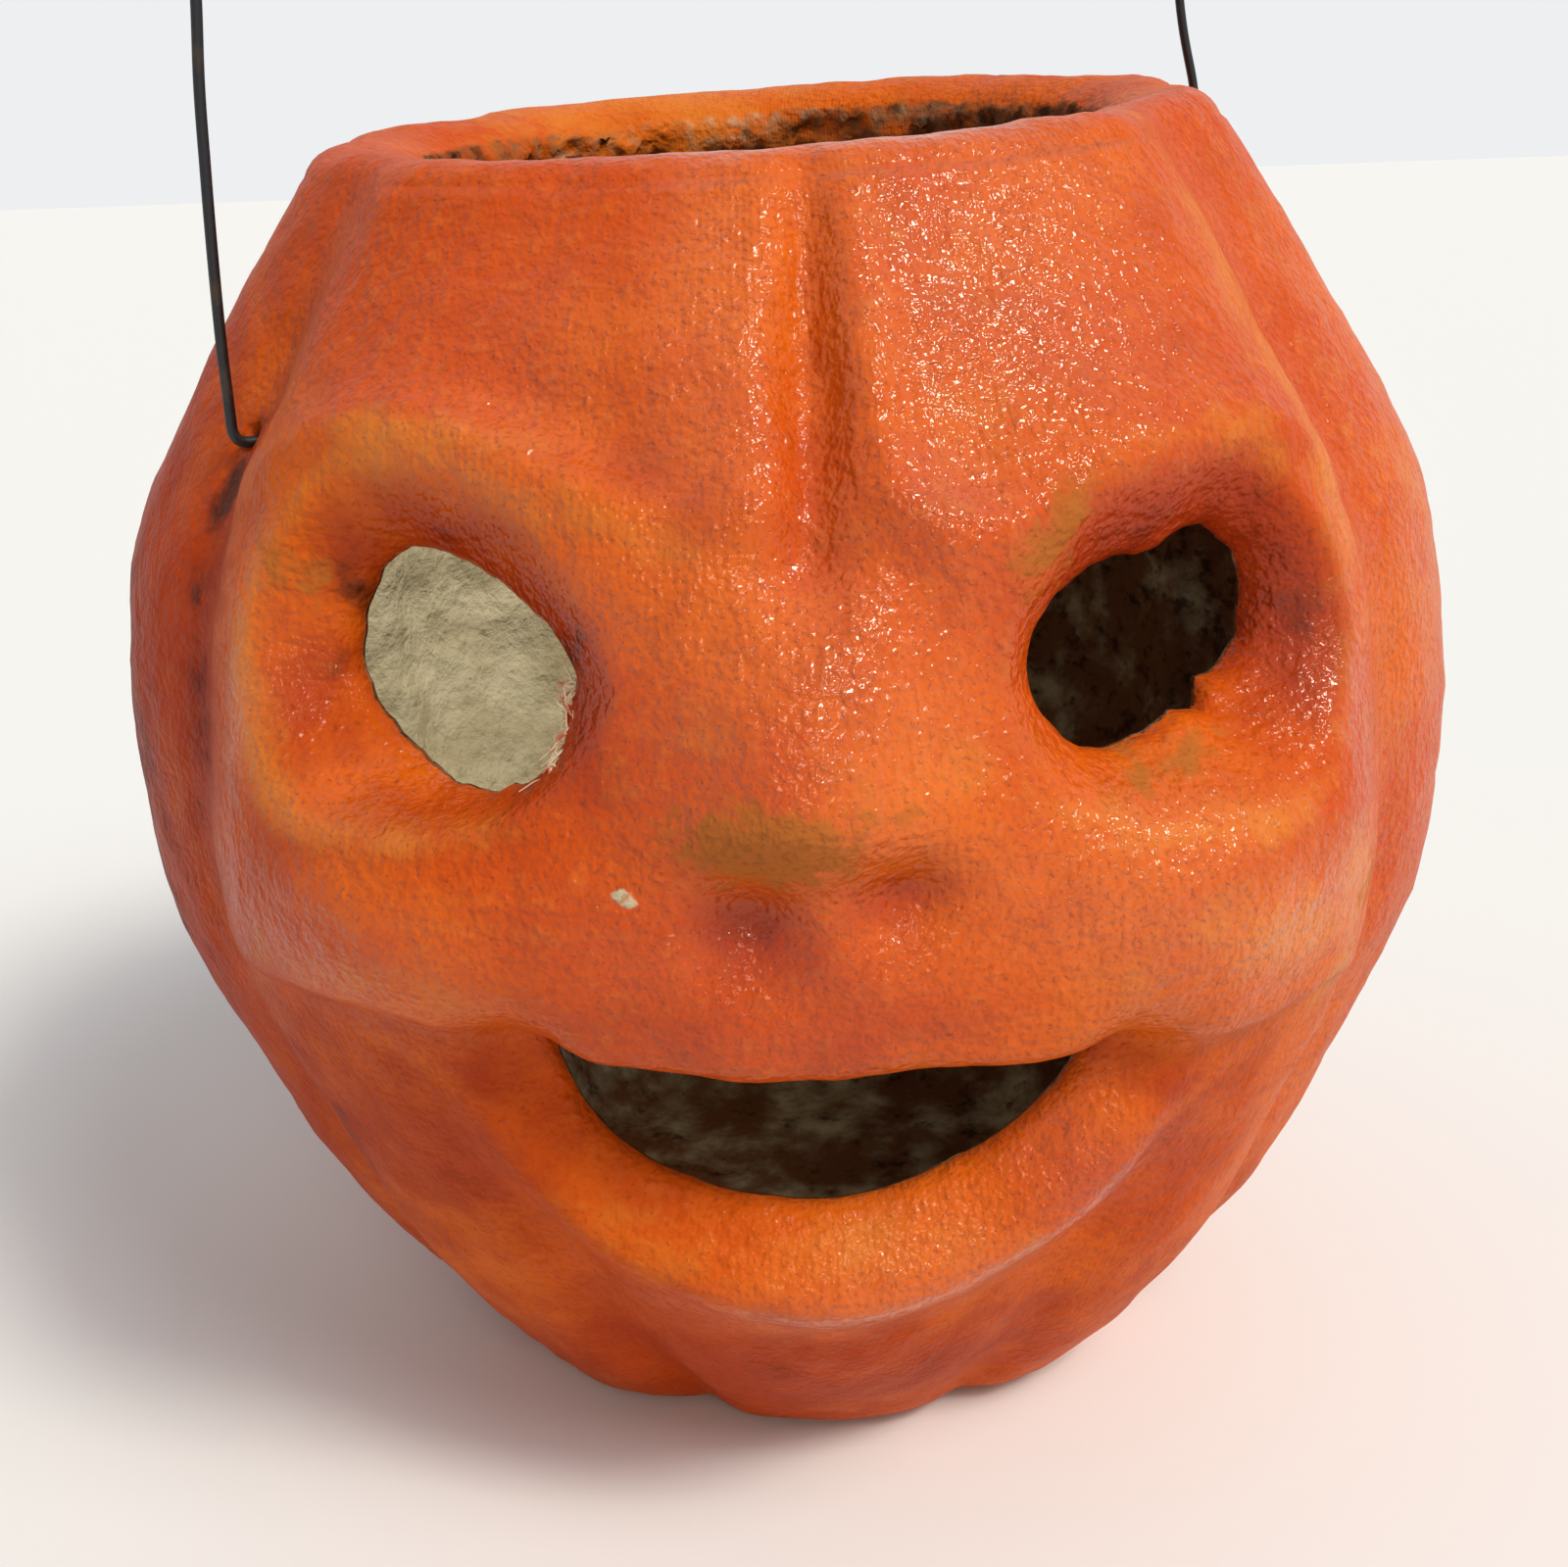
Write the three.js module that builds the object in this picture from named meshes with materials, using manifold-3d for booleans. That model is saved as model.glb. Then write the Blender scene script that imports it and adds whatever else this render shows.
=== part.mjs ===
// A jack-o-lantern of moulded paper pulp, open at the top, with a wire bail hooked through its wall.
// Millimetres, +Z up. The origin is the centre of the face that it rests on, and its face looks towards -Y.
import * as THREE from "three";
import { mergeVertices } from "three/addons/utils/BufferGeometryUtils.js";
import Module from "manifold-3d";

const wasm = await Module();
wasm.setup();

// Body: radii of the lobes at even steps of height, from the base to the rim
const bodyHeight = 124.8;
const baseRadius = 36.2;
const heelRadius = 49.6;
const lowerRadius = 57.8;
const waistRadius = 64.2;
const bellyRadius = 65.1;
const upperRadius = 62.5;
const shoulderRadius = 53.0;
const rimRadius = 41.6;
const wall = 3.4;
const floorThickness = 3.6;
const footCorner = 4.0;

// The rim folds inwards as a lip, and the hand-pulled shell leans and tips a little at the top
const lipReach = 8.6;
const lipDrop = 3.2;
const lipThickness = 3.0;
const rimRound = 2.4;
const leanAcross = -2.3;
const rimTipAcross = 1.5;
const rimTipBack = 2.5;

// Lobes and the grooves between them
const ribCount = 10;
const ribTurn = 1.0;
const grooveDepth = 2.6;
const grooveWidth = 4.8;
const grooveFadeTop = 20;
const grooveFadeHeight = 16;
const grooveFadeShare = 0.75;
const grooveFrontStart = 42;
const grooveFrontBlend = 26;
const lobeSwell = 0.9;
const lobeSwellInFront = 0.3;
const footLobes = 0.65;
const footShare = 0.06;

// The face is laid out on the front wall as [across, up]: arc length from its middle, and height.
// A third number is how far a form stands out of the wall there; a negative one is sunk into it.
const faceRadius = 60;
const faceHalfWidth = 60;
const faceFade = 18;
const faceBottom = 33;
const faceTop = 106;
const foreheadRise = 2.0;
const cheekRise = 2.1;

const browLine = [
  [-60, 95], [-50, 97], [-42, 100], [-32, 101.5], [-22, 100.3], [-13, 97], [-5, 95.5], [4, 95.5],
  [10, 95], [15, 94], [22, 95], [30, 97], [38, 97.5], [46, 96], [54, 93], [62, 90],
];
const cheekLine = [
  [-62, 56], [-52, 55.5], [-42, 57], [-32, 57.5], [-21, 55.2], [-10, 54.6], [0, 54],
  [10, 54], [22, 52.3], [28, 52.5], [36, 51.5], [46, 51.5], [56, 49], [62, 49],
];

// Long ridges and furrows: their crest, and half the width over which they fade
const ridges = [
  { name: "forehead furrow", width: 2.8,
    crest: [
      [1.6, 90, -0.6], [2.2, 97, -2.7], [2.9, 106, -2.9], [3.6, 114, -2.6], [4.6, 121, -1.4], [5.4, 127, -0.4],
    ] },
  { name: "edge of the right forehead lobe", width: 2.6,
    crest: [
      [8.2, 123, 0.2], [7.8, 114, 0.8], [8, 105, 1.2], [9, 98.5, 1.5], [12, 94.8, 1.7], [16, 93.8, 1.2],
    ] },
  { name: "left brow", width: 4.5,
    crest: [[-50, 96.5, 0.6], [-42, 99.5, 1.4], [-32, 101, 1.8], [-23, 99.8, 2], [-15, 97, 1.8], [-8, 94.5, 1]] },
  { name: "right brow", width: 4.5,
    crest: [[10, 95, 0.8], [16, 94.2, 1.4], [23, 95.5, 1.6], [31, 97.3, 1.4], [40, 97.5, 1.2], [48, 95.2, 0.7]] },
  { name: "hollow over the left brow", width: 3.5,
    crest: [[-32, 108, -0.3], [-24, 107, -1.2], [-15, 104, -1.4], [-8, 100.5, -0.8]] },
  { name: "lower lip", width: 5.6,
    crest: [
      [-25, 52.5, 1], [-24, 45.5, 2.4], [-20.3, 39.4, 3.6], [-13.5, 35.3, 4.3], [-4.5, 33.3, 4.7],
      [4.5, 33.1, 4.7], [13, 34.4, 4.4], [20.8, 38.4, 4], [26, 44, 3.2], [27.8, 51, 1.4],
    ] },
  { name: "left chin edge", width: 5.0,
    crest: [[-28.5, 50, -0.5], [-28, 40, -1.3], [-25, 28, -1.7], [-23, 14, -1.9], [-20, 0, -2.2]] },
  { name: "right chin edge", width: 5.0,
    crest: [[30, 48, -0.4], [29.5, 38, -0.8], [26.5, 27, -1], [25, 14, -1.1], [23, 0, -1.6]] },
];

// Round swellings and dents: middle, half widths across, upwards and downwards, and height
const swellings = [
  { name: "left cheek", at: [-31, 65], across: 14, above: 6.5, below: 7, rise: 2.3 },
  { name: "right cheek", at: [31.5, 64.5], across: 13, above: 7.5, below: 8, rise: 2.6 },
  { name: "nose", at: [0.8, 77], across: 9, above: 12, below: 4.4, rise: 4.5 },
  { name: "bridge of the nose", at: [1.5, 90], across: 7, above: 9, below: 9, rise: 1.2 },
  { name: "chin", at: [0, 25], across: 17, above: 9, below: 15, rise: 1.7 },
  { name: "left nostril", at: [-3.2, 68.8], across: 3.7, above: 3.2, below: 5, rise: -3 },
  { name: "right nostril", at: [7, 69.8], across: 3.5, above: 2.9, below: 4, rise: -2.5 },
];

// Eye sockets, by eighths of a turn from the right and anticlockwise: radius of the opening, radius of the
// socket's crest, height of that crest, and how deep the opening's edge lies
const eyes = [
  { at: [-27.9, 85.7],
    opening: [11.1, 8.3, 8.5, 11.2, 11.2, 9.3, 9.5, 11.3],
    crest: [16.4, 15.6, 16, 18, 18, 15.6, 12.2, 13],
    rise: [0.2, 1.2, 2.6, 2, 1, 1.8, 1.8, 0.8],
    edge: [-3.5, -3.8, -4.4, -4.8, -4.6, -4.4, -3.6, -3] },
  { at: [31.4, 85.2],
    opening: [12.2, 10.5, 6.6, 9.1, 12.7, 10.8, 7.3, 8.6],
    crest: [16.9, 16.2, 13.7, 14.4, 16.4, 15.5, 13.7, 15.9],
    rise: [1.1, 1.8, 2.4, 1.8, 0.2, 1.2, 2, 1.6],
    edge: [-5.2, -4.8, -4.4, -3.4, -3, -3, -3.6, -4.6] },
];
const socketFade = 6;
const socketBlend = 10;
const socketOverlap = 4;
const socketRimShare = 0.6;
const socketSteepShare = 0.35;
const socketInnerReach = 0.5;

// Mouth opening: its upper and lower edges share their end points
const mouthUpper = [
  [-22, 55], [-16.5, 55.2], [-10, 54.8], [-3, 54], [4, 53.8], [11, 54], [18.5, 53.3], [24.8, 51.8],
];
const mouthLower = [
  [-22, 55], [-20, 47.7], [-16.5, 43], [-11, 39.8], [-4, 38], [3.5, 38], [10.5, 39.6], [16.8, 42.8],
  [22, 47.4], [24.8, 51.8],
];
const mouthEdgeSink = -4.2;
const mouthEdgeWidth = 4.2;

// Bail: wire, the two punched holes, and the hoop as [along the hinge, up] from the hinge line
const wireRadius = 0.5;
const bailHoleRadius = 1.25;
const bailHeight = 99.3;
const bailTurn = -56;
const wireSeat = 0.3;
const legGap = 1.0;
const hookLength = 6;
const hookGap = 2.4;
const wireBend = 1.5;
const hoop = [
  [0, 10], [-0.4, 22], [-1.1, 33], [-3.4, 50], [-11, 68], [-27, 82], [-49, 89], [-73, 86.5], [-92, 77],
  [-104, 61], [-109.6, 45], [-112.2, 33], [-114.4, 25.6], [-115.4, 18], [-114.2, 9],
];
const hoopRightDrop = 113.2;

const turn = Math.PI * 2;
const radians = THREE.MathUtils.degToRad;

// Shaped solids

function solidOf(geometry) {
  const bare = geometry.clone();
  bare.deleteAttribute("normal");
  bare.deleteAttribute("uv");
  const merged = mergeVertices(bare, 1e-4);
  const index = merged.index.array;
  const corners = [];
  for (let i = 0; i < index.length; i += 3) {
    const [a, b, c] = index.slice(i, i + 3);
    if (a !== b && b !== c && c !== a) corners.push(a, b, c);
  }
  return new wasm.Manifold(
    new wasm.Mesh({
      numProp: 3,
      vertProperties: merged.attributes.position.array,
      triVerts: new Uint32Array(corners),
    }),
  );
}

function geometryOf(solid) {
  const mesh = solid.getMesh();
  const geometry = new THREE.BufferGeometry();
  geometry.setAttribute("position", new THREE.BufferAttribute(mesh.vertProperties, 3));
  geometry.setIndex(new THREE.BufferAttribute(mesh.triVerts, 1));
  const flat = geometry.toNonIndexed();
  flat.computeVertexNormals();
  return flat;
}

// Body outline and the forms that stand on it

const outline = new THREE.SplineCurve(
  [baseRadius, heelRadius, lowerRadius, waistRadius, bellyRadius, upperRadius, shoulderRadius, rimRadius].map(
    (radius, step, all) => new THREE.Vector2(radius, (bodyHeight * step) / (all.length - 1)),
  ),
);
const outlinePoints = outline.getPoints(200);

function valueAlong(points, at) {
  let i = 1;
  while (i < points.length - 1 && points[i][0] < at) i += 1;
  const [x0, y0] = points[i - 1];
  const [x1, y1] = points[i];
  return y0 + (y1 - y0) * THREE.MathUtils.clamp((at - x0) / (x1 - x0), 0, 1);
}

const radiusByHeight = outlinePoints.map((p) => [p.y, p.x]);

function outlineRadius(height) {
  return valueAlong(radiusByHeight, height);
}

// The share of the outline's curve that lies at a height
const shareByHeight = outlinePoints.map((p, i) => [p.y, i / (outlinePoints.length - 1)]);

function outlineNormal(height) {
  const along = outline.getTangent(valueAlong(shareByHeight, height));
  return new THREE.Vector2(along.y, -along.x);
}

function smooth(x) {
  return THREE.MathUtils.smoothstep(x, 0, 1);
}

function mix(from, to, share) {
  return from + (to - from) * share;
}

// A smooth curve through places on the face, as closely spaced points
function throughPlaces(places, perSpan) {
  const curve = new THREE.CatmullRomCurve3(
    places.map(([across, up, rise = 0]) => new THREE.Vector3(across, up, rise)),
    false,
    "catmullrom",
    0.5,
  );
  return curve.getPoints((places.length - 1) * perSpan).map((p) => [p.x, p.y, p.z]);
}

// Height of a ridge at a place: its crest's height at the nearest point, less with distance
function ridgeHeight(crest, width, across, up) {
  let nearest = Infinity;
  let rise = 0;
  for (let i = 1; i < crest.length; i += 1) {
    const [ax, ay, az] = crest[i - 1];
    const [bx, by, bz] = crest[i];
    const dx = bx - ax;
    const dy = by - ay;
    const share = THREE.MathUtils.clamp(((across - ax) * dx + (up - ay) * dy) / (dx * dx + dy * dy), 0, 1);
    const distance = Math.hypot(across - ax - share * dx, up - ay - share * dy);
    if (distance < nearest) {
      nearest = distance;
      rise = az + share * (bz - az);
    }
  }
  return rise * Math.exp(-((nearest / width) ** 2));
}

function swellingHeight(form, across, up) {
  const tall = up > form.at[1] ? form.above : form.below;
  return form.rise * Math.exp(-(((across - form.at[0]) / form.across) ** 2) - ((up - form.at[1]) / tall) ** 2);
}

// A smooth closed curve through values given at even steps of a turn
function aroundTurn(values, angle) {
  const count = values.length;
  const place = ((((angle / turn) % 1) + 1) % 1) * count;
  const i = Math.floor(place);
  const t = place - i;
  const [p0, p1, p2, p3] = [-1, 0, 1, 2].map((k) => values[(i + k + count) % count]);
  const v0 = (p2 - p0) / 2;
  const v1 = (p3 - p1) / 2;
  return (2 * p1 - 2 * p2 + v0 + v1) * t ** 3 + (3 * p2 - 3 * p1 - 2 * v0 - v1) * t ** 2 + v0 * t + p1;
}

const browPoints = throughPlaces(browLine, 4);
const cheekPoints = throughPlaces(cheekLine, 4);
const crests = ridges.map((form) => ({ points: throughPlaces(form.crest, 4), width: form.width }));
const mouthEdge = throughPlaces(mouthLower.map(([across, up]) => [across, up, mouthEdgeSink]), 4);
const foreheadEdge = 4.5;
const cheekEdge = 3.6;
const cheekTop = 84;
const cheekTopFade = 16;

// The socket's hollow from the opening's edge, at 0, to its crest, at 1
function socketSlope(share) {
  if (share < 0) return Math.max(share, -socketInnerReach) * socketSteepShare * (Math.PI / 2);
  return socketSteepShare * Math.sin((share * Math.PI) / 2) + (1 - socketSteepShare) * smooth(share);
}

// How far the face stands out of the plain wall at a place
function faceHeight(across, up) {
  const side = smooth((faceHalfWidth - Math.abs(across)) / faceFade);
  let height = foreheadRise * side * smooth((up - valueAlong(browPoints, across)) / foreheadEdge + 1 / 3);
  height +=
    cheekRise * side * smooth((up - valueAlong(cheekPoints, across)) / cheekEdge + 1 / 3) *
    smooth((cheekTop - up) / cheekTopFade);
  for (const crest of crests) height += ridgeHeight(crest.points, crest.width, across, up);
  height += ridgeHeight(mouthEdge, mouthEdgeWidth, across, up);
  for (const form of swellings) height += swellingHeight(form, across, up);
  for (const eye of eyes) {
    const dx = across - eye.at[0];
    const dy = up - eye.at[1];
    const distance = Math.hypot(dx, dy);
    const angle = Math.atan2(dy, dx);
    const opening = aroundTurn(eye.opening, angle);
    const crest = aroundTurn(eye.crest, angle);
    const rise = aroundTurn(eye.rise, angle);
    const edge = aroundTurn(eye.edge, angle);
    const share = (distance - opening) / (crest - opening);
    let socket = rise * Math.exp(-(((distance - crest) / socketFade) ** 2));
    if (share < 1) socket = edge + (rise - edge) * socketSlope(share);
    const inside = smooth((crest + socketOverlap - distance) / socketBlend);
    height = height * (1 - inside) + socket * (inside + (1 - inside) * socketRimShare);
  }
  return height;
}

// The lobes, and the grooves between them, which the face covers at the front
function ribHeight(azimuth, up) {
  const pitch = 360 / ribCount;
  const place = (azimuth - pitch / 2 - ribTurn) / pitch;
  const offset = (place - Math.round(place)) * pitch;
  const arc = radians(offset) * outlineRadius(up);
  const behindFace = smooth((Math.abs(azimuth) - grooveFrontStart) / grooveFrontBlend);
  const fade = 1 - grooveFadeShare * smooth((up - bodyHeight + grooveFadeTop) / grooveFadeHeight);
  const groove = -grooveDepth * Math.exp(-((arc / grooveWidth) ** 2)) * behindFace * fade;
  const swell = -lobeSwell * Math.cos((turn * offset) / pitch) * mix(lobeSwellInFront, 1, behindFace);
  return (groove + swell) * mix(footLobes, 1, smooth(up / bodyHeight / footShare));
}

const faceLimit = 75;

function wallHeight(azimuth, up) {
  const face = Math.abs(azimuth) < faceLimit ? faceHeight(radians(azimuth) * faceRadius, up) : 0;
  return ribHeight(azimuth, up) + face;
}

// A point of the body from its azimuth, radius and height, with the lean and the tip of the rim
function bodyPoint(azimuth, radius, up) {
  const share = THREE.MathUtils.clamp(up / bodyHeight, 0, 1);
  const a = radians(azimuth);
  const tip = (rimTipAcross * Math.sin(a) - rimTipBack * Math.cos(a)) * Math.min(radius / rimRadius, 1);
  return new THREE.Vector3(
    radius * Math.sin(a) + leanAcross * share,
    -radius * Math.cos(a),
    up + tip * share ** 2,
  );
}

// Shell

// One row of the shell's section: radius, height, how much of the face and lobes it follows, and the height
// on the wall whose forms it follows
function sectionRow(radius, up, follow, wallUp, normal) {
  return { radius, up, follow, wallUp, normal };
}

function shellSection() {
  const outward = new THREE.Vector2(1, 0);
  const rows = [sectionRow(0, 0, 0, 0, outward)];
  const footTop = footCorner;
  const footFlat = baseRadius - footCorner;
  rows.push(sectionRow(footFlat * 0.5, 0, 0, 0, outward));
  const foot = new THREE.QuadraticBezierCurve(
    new THREE.Vector2(footFlat, 0),
    new THREE.Vector2(baseRadius, 0),
    new THREE.Vector2(outlineRadius(footTop), footTop),
  );
  for (const p of foot.getPoints(3)) rows.push(sectionRow(p.x, p.y, 1, p.y, outward));
  const outerTop = bodyHeight - rimRound;
  const bands = [
    { from: footTop, to: faceBottom, rows: 6 },
    { from: faceBottom, to: faceTop, rows: 26 },
    { from: faceTop, to: outerTop, rows: 4 },
  ];
  for (const band of bands)
    for (let i = 1; i <= band.rows; i += 1) {
      const up = band.from + ((band.to - band.from) * i) / band.rows;
      if (up < outerTop) rows.push(sectionRow(outlineRadius(up), up, 1, up, outlineNormal(up)));
    }
  const rimTop = new THREE.QuadraticBezierCurve(
    new THREE.Vector2(outlineRadius(outerTop), outerTop),
    new THREE.Vector2(outlineRadius(bodyHeight - rimRound / 3), bodyHeight),
    new THREE.Vector2(rimRadius - rimRound, bodyHeight),
  );
  for (const p of rimTop.getPoints(3)) rows.push(sectionRow(p.x, p.y, 0.9, outerTop, outward));
  const lipEdge = rimRadius - lipReach;
  rows.push(sectionRow((rimRadius + lipEdge) / 2, bodyHeight - lipDrop * 0.35, 0.6, outerTop, outward));
  rows.push(sectionRow(lipEdge, bodyHeight - lipDrop, 0.3, outerTop, outward));
  rows.push(sectionRow(lipEdge, bodyHeight - lipDrop - lipThickness, 0.3, outerTop, outward));
  const innerRows = 14;
  const innerTop = bodyHeight - lipDrop - lipThickness - wall;
  for (let i = 0; i < innerRows; i += 1) {
    const up = innerTop - ((innerTop - floorThickness * 2) * i) / (innerRows - 1);
    const normal = outlineNormal(up);
    const inner = new THREE.Vector2(outlineRadius(up), up).addScaledVector(normal, -wall);
    rows.push(sectionRow(inner.x, inner.y, 0.85, up, normal));
  }
  rows.push(sectionRow(baseRadius - wall - footCorner / 2, floorThickness, 0.4, floorThickness, outward));
  rows.push(sectionRow(0, floorThickness, 0, 0, outward));
  return rows;
}

// Azimuths of the shell's columns: close together over the face, and on every groove and lobe behind it
function shellAzimuths() {
  const pitch = 360 / ribCount;
  const faceStep = pitch / 14;
  const faceEdge = pitch * 1.5;
  const azimuths = [];
  for (let a = -faceEdge; a < faceEdge - faceStep / 2; a += faceStep) azimuths.push(a + ribTurn);
  const lobeSteps = [0, 0.12, 0.36, 0.64, 0.88];
  const backLobes = ribCount - Math.round((2 * faceEdge) / pitch);
  for (let lobe = 0; lobe < backLobes; lobe += 1)
    for (const step of lobeSteps) azimuths.push(faceEdge + (lobe + step) * pitch + ribTurn);
  return azimuths;
}

// The section is turned round the body's axis, and each vertex is then moved to its place on the formed wall
function shellBlank() {
  const section = shellSection();
  const azimuths = shellAzimuths();
  const lathe = new THREE.LatheGeometry(
    section.map((row) => new THREE.Vector2(row.radius, row.up)),
    azimuths.length,
  );
  const position = lathe.attributes.position;
  for (let column = 0; column <= azimuths.length; column += 1) {
    const azimuth = azimuths[column % azimuths.length];
    const wrapped = azimuth > 180 ? azimuth - 360 : azimuth;
    section.forEach((row, i) => {
      const height = row.follow ? row.follow * wallHeight(wrapped, row.wallUp) : 0;
      const p = bodyPoint(wrapped, row.radius + height * row.normal.x, row.up + height * row.normal.y);
      position.setXYZ(column * section.length + i, p.x, p.y, p.z);
    });
  }
  return solidOf(lathe);
}

// A cutter for an opening in the face: the outline laid on the front wall and carried through it
const cutterReach = 40;
const cutterStart = 38;

function faceCutter(outlinePlaces) {
  const shape = new THREE.Shape(outlinePlaces.map(([across, up]) => new THREE.Vector2(across, up)));
  const cutter = new THREE.ExtrudeGeometry(shape, { depth: cutterReach, steps: 1, bevelEnabled: false });
  const position = cutter.attributes.position;
  for (let i = 0; i < position.count; i += 1) {
    const azimuth = THREE.MathUtils.radToDeg(position.getX(i) / faceRadius);
    const p = bodyPoint(azimuth, cutterStart + position.getZ(i), position.getY(i));
    position.setXYZ(i, p.x, p.y, p.z);
  }
  return solidOf(cutter);
}

function eyeCutter(eye) {
  const count = 28;
  return faceCutter(
    Array.from({ length: count }, (_, i) => {
      const angle = (turn * i) / count;
      const radius = aroundTurn(eye.opening, angle);
      return [eye.at[0] + radius * Math.cos(angle), eye.at[1] + radius * Math.sin(angle)];
    }),
  );
}

function mouthCutter() {
  const lower = throughPlaces(mouthLower, 3);
  const upper = throughPlaces(mouthUpper, 2).reverse().slice(1, -1);
  return faceCutter([...lower, ...upper]);
}

// Hinge line of the bail, level and through the body's axis, and turned from the face
const hingeDirection = new THREE.Vector3(Math.sin(radians(bailTurn)), -Math.cos(radians(bailTurn)), 0);
const hingeCentre = new THREE.Vector3((leanAcross * bailHeight) / bodyHeight, 0, bailHeight);

function alongHinge(along, up) {
  return hingeCentre.clone().addScaledVector(hingeDirection, along).add(new THREE.Vector3(0, 0, up));
}

// The wire hangs in its holes, so each hole's middle lies a little above the wire
const holeRise = bailHoleRadius - wireRadius - wireSeat;

function bailHoleCutter() {
  const reach = bellyRadius * 2.4;
  const cutter = new THREE.CylinderGeometry(bailHoleRadius, bailHoleRadius, reach, 12);
  cutter.applyQuaternion(
    new THREE.Quaternion().setFromUnitVectors(new THREE.Vector3(0, 1, 0), hingeDirection),
  );
  const middle = alongHinge(0, holeRise);
  cutter.translate(middle.x, middle.y, middle.z);
  return solidOf(cutter);
}

function makeShell() {
  let shell = shellBlank();
  for (const cutter of [...eyes.map(eyeCutter), mouthCutter(), bailHoleCutter()]) shell = shell.subtract(cutter);
  return geometryOf(shell);
}

// Bail

// How far the wall reaches from the body's axis on the side that the azimuth names, outside and inside
function wallReach(azimuth, height) {
  const tip = rimTipAcross * Math.sin(radians(azimuth)) - rimTipBack * Math.cos(radians(azimuth));
  const up = height - tip * (height / bodyHeight) ** 2;
  const normal = outlineNormal(up);
  const outside = outlineRadius(up) + wallHeight(azimuth, up) * normal.x;
  return { outside, inside: outside - wall / normal.x };
}

// The wire's middle line: a hook inside each hole, the straight stretch that turns in it, and the hoop between
function bailPath() {
  const hookTop = bailHeight + hookLength;
  const left = wallReach(bailTurn, bailHeight).outside + legGap;
  const right = wallReach(bailTurn + 180, bailHeight).outside + legGap;
  const leftHook = wallReach(bailTurn, hookTop).inside - hookGap;
  const rightHook = wallReach(bailTurn + 180, hookTop).inside - hookGap;
  const path = new THREE.CurvePath();
  let pen = alongHinge(leftHook, hookLength);
  const lineTo = (along, up) => {
    const next = alongHinge(along, up);
    path.add(new THREE.LineCurve3(pen, next));
    pen = next;
  };
  const bendTo = (cornerAlong, cornerUp, along, up) => {
    const next = alongHinge(along, up);
    path.add(new THREE.QuadraticBezierCurve3(pen, alongHinge(cornerAlong, cornerUp), next));
    pen = next;
  };
  lineTo(leftHook, wireBend);
  bendTo(leftHook, 0, leftHook + wireBend, 0);
  lineTo(left - wireBend, 0);
  bendTo(left, 0, left, wireBend);
  const span = left + right;
  const hoopPoints = [alongHinge(left, wireBend)];
  for (const [along, up] of hoop) hoopPoints.push(alongHinge(left + (along * span) / hoopRightDrop, up));
  hoopPoints.push(alongHinge(-right, wireBend));
  const arch = new THREE.CatmullRomCurve3(hoopPoints, false, "centripetal");
  path.add(arch);
  pen = alongHinge(-right, wireBend);
  bendTo(-right, 0, -right + wireBend, 0);
  lineTo(-rightHook - wireBend, 0);
  bendTo(-rightHook, 0, -rightHook, wireBend);
  lineTo(-rightHook, hookLength);
  return path;
}

function makeBail() {
  const section = new THREE.Shape();
  section.absarc(0, 0, wireRadius, 0, turn, false);
  return new THREE.ExtrudeGeometry(section, {
    steps: 150,
    curveSegments: 4,
    bevelEnabled: false,
    extrudePath: bailPath(),
  });
}

// Parts

const lacqueredPulp = new THREE.MeshStandardMaterial({ color: 0xc9501c, roughness: 0.5, metalness: 0 });
const blackenedSteel = new THREE.MeshStandardMaterial({ color: 0x33312f, roughness: 0.5, metalness: 0.9 });

const shell = new THREE.Mesh(makeShell(), lacqueredPulp);
shell.name = "pulp_shell";

const bail = new THREE.Mesh(makeBail(), blackenedSteel);
bail.name = "wire_bail";

const lantern = new THREE.Group();
lantern.add(shell, bail);

export default lantern;
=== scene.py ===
import math

import bmesh
import bpy
import numpy as np
from mathutils import Matrix, Vector, noise


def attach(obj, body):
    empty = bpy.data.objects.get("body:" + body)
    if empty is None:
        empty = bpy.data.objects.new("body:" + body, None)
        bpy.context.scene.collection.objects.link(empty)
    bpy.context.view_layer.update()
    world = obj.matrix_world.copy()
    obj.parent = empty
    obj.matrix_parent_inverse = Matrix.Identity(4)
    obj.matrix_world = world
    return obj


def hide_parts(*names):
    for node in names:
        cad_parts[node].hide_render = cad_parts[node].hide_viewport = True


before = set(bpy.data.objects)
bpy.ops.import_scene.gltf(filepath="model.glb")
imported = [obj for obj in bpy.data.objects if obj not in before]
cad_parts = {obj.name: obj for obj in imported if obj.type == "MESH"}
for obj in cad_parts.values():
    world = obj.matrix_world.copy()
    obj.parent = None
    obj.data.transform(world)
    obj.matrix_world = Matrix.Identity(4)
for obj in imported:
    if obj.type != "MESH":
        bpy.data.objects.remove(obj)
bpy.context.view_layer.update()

# Camera. It stands 14 cm in front of the face at the height of the rim and looks down into the mouth,
# rolled by two degrees, as the lantern was photographed.
MM = 0.001
camera_place = Vector((-2.1, -205.0, 126.1)) * MM
camera_pitch = math.radians(18.93)
camera_roll = math.radians(2.0)


def in_scene(name, data):
    placed = bpy.data.objects.new(name, data)
    bpy.context.scene.collection.objects.link(placed)
    return placed


camera_data = bpy.data.cameras.new("camera")
camera_data.sensor_fit = "HORIZONTAL"
camera_data.sensor_width = 36.0
camera_data.lens = 45.99
camera_data.clip_start = 0.01
camera_data.clip_end = 20.0
camera = in_scene("camera", camera_data)
look = Matrix.Rotation(math.radians(90) - camera_pitch, 4, "X") @ Matrix.Rotation(-camera_roll, 4, "Z")
camera.matrix_world = Matrix.Translation(camera_place) @ look
bpy.context.scene.camera = camera

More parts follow.
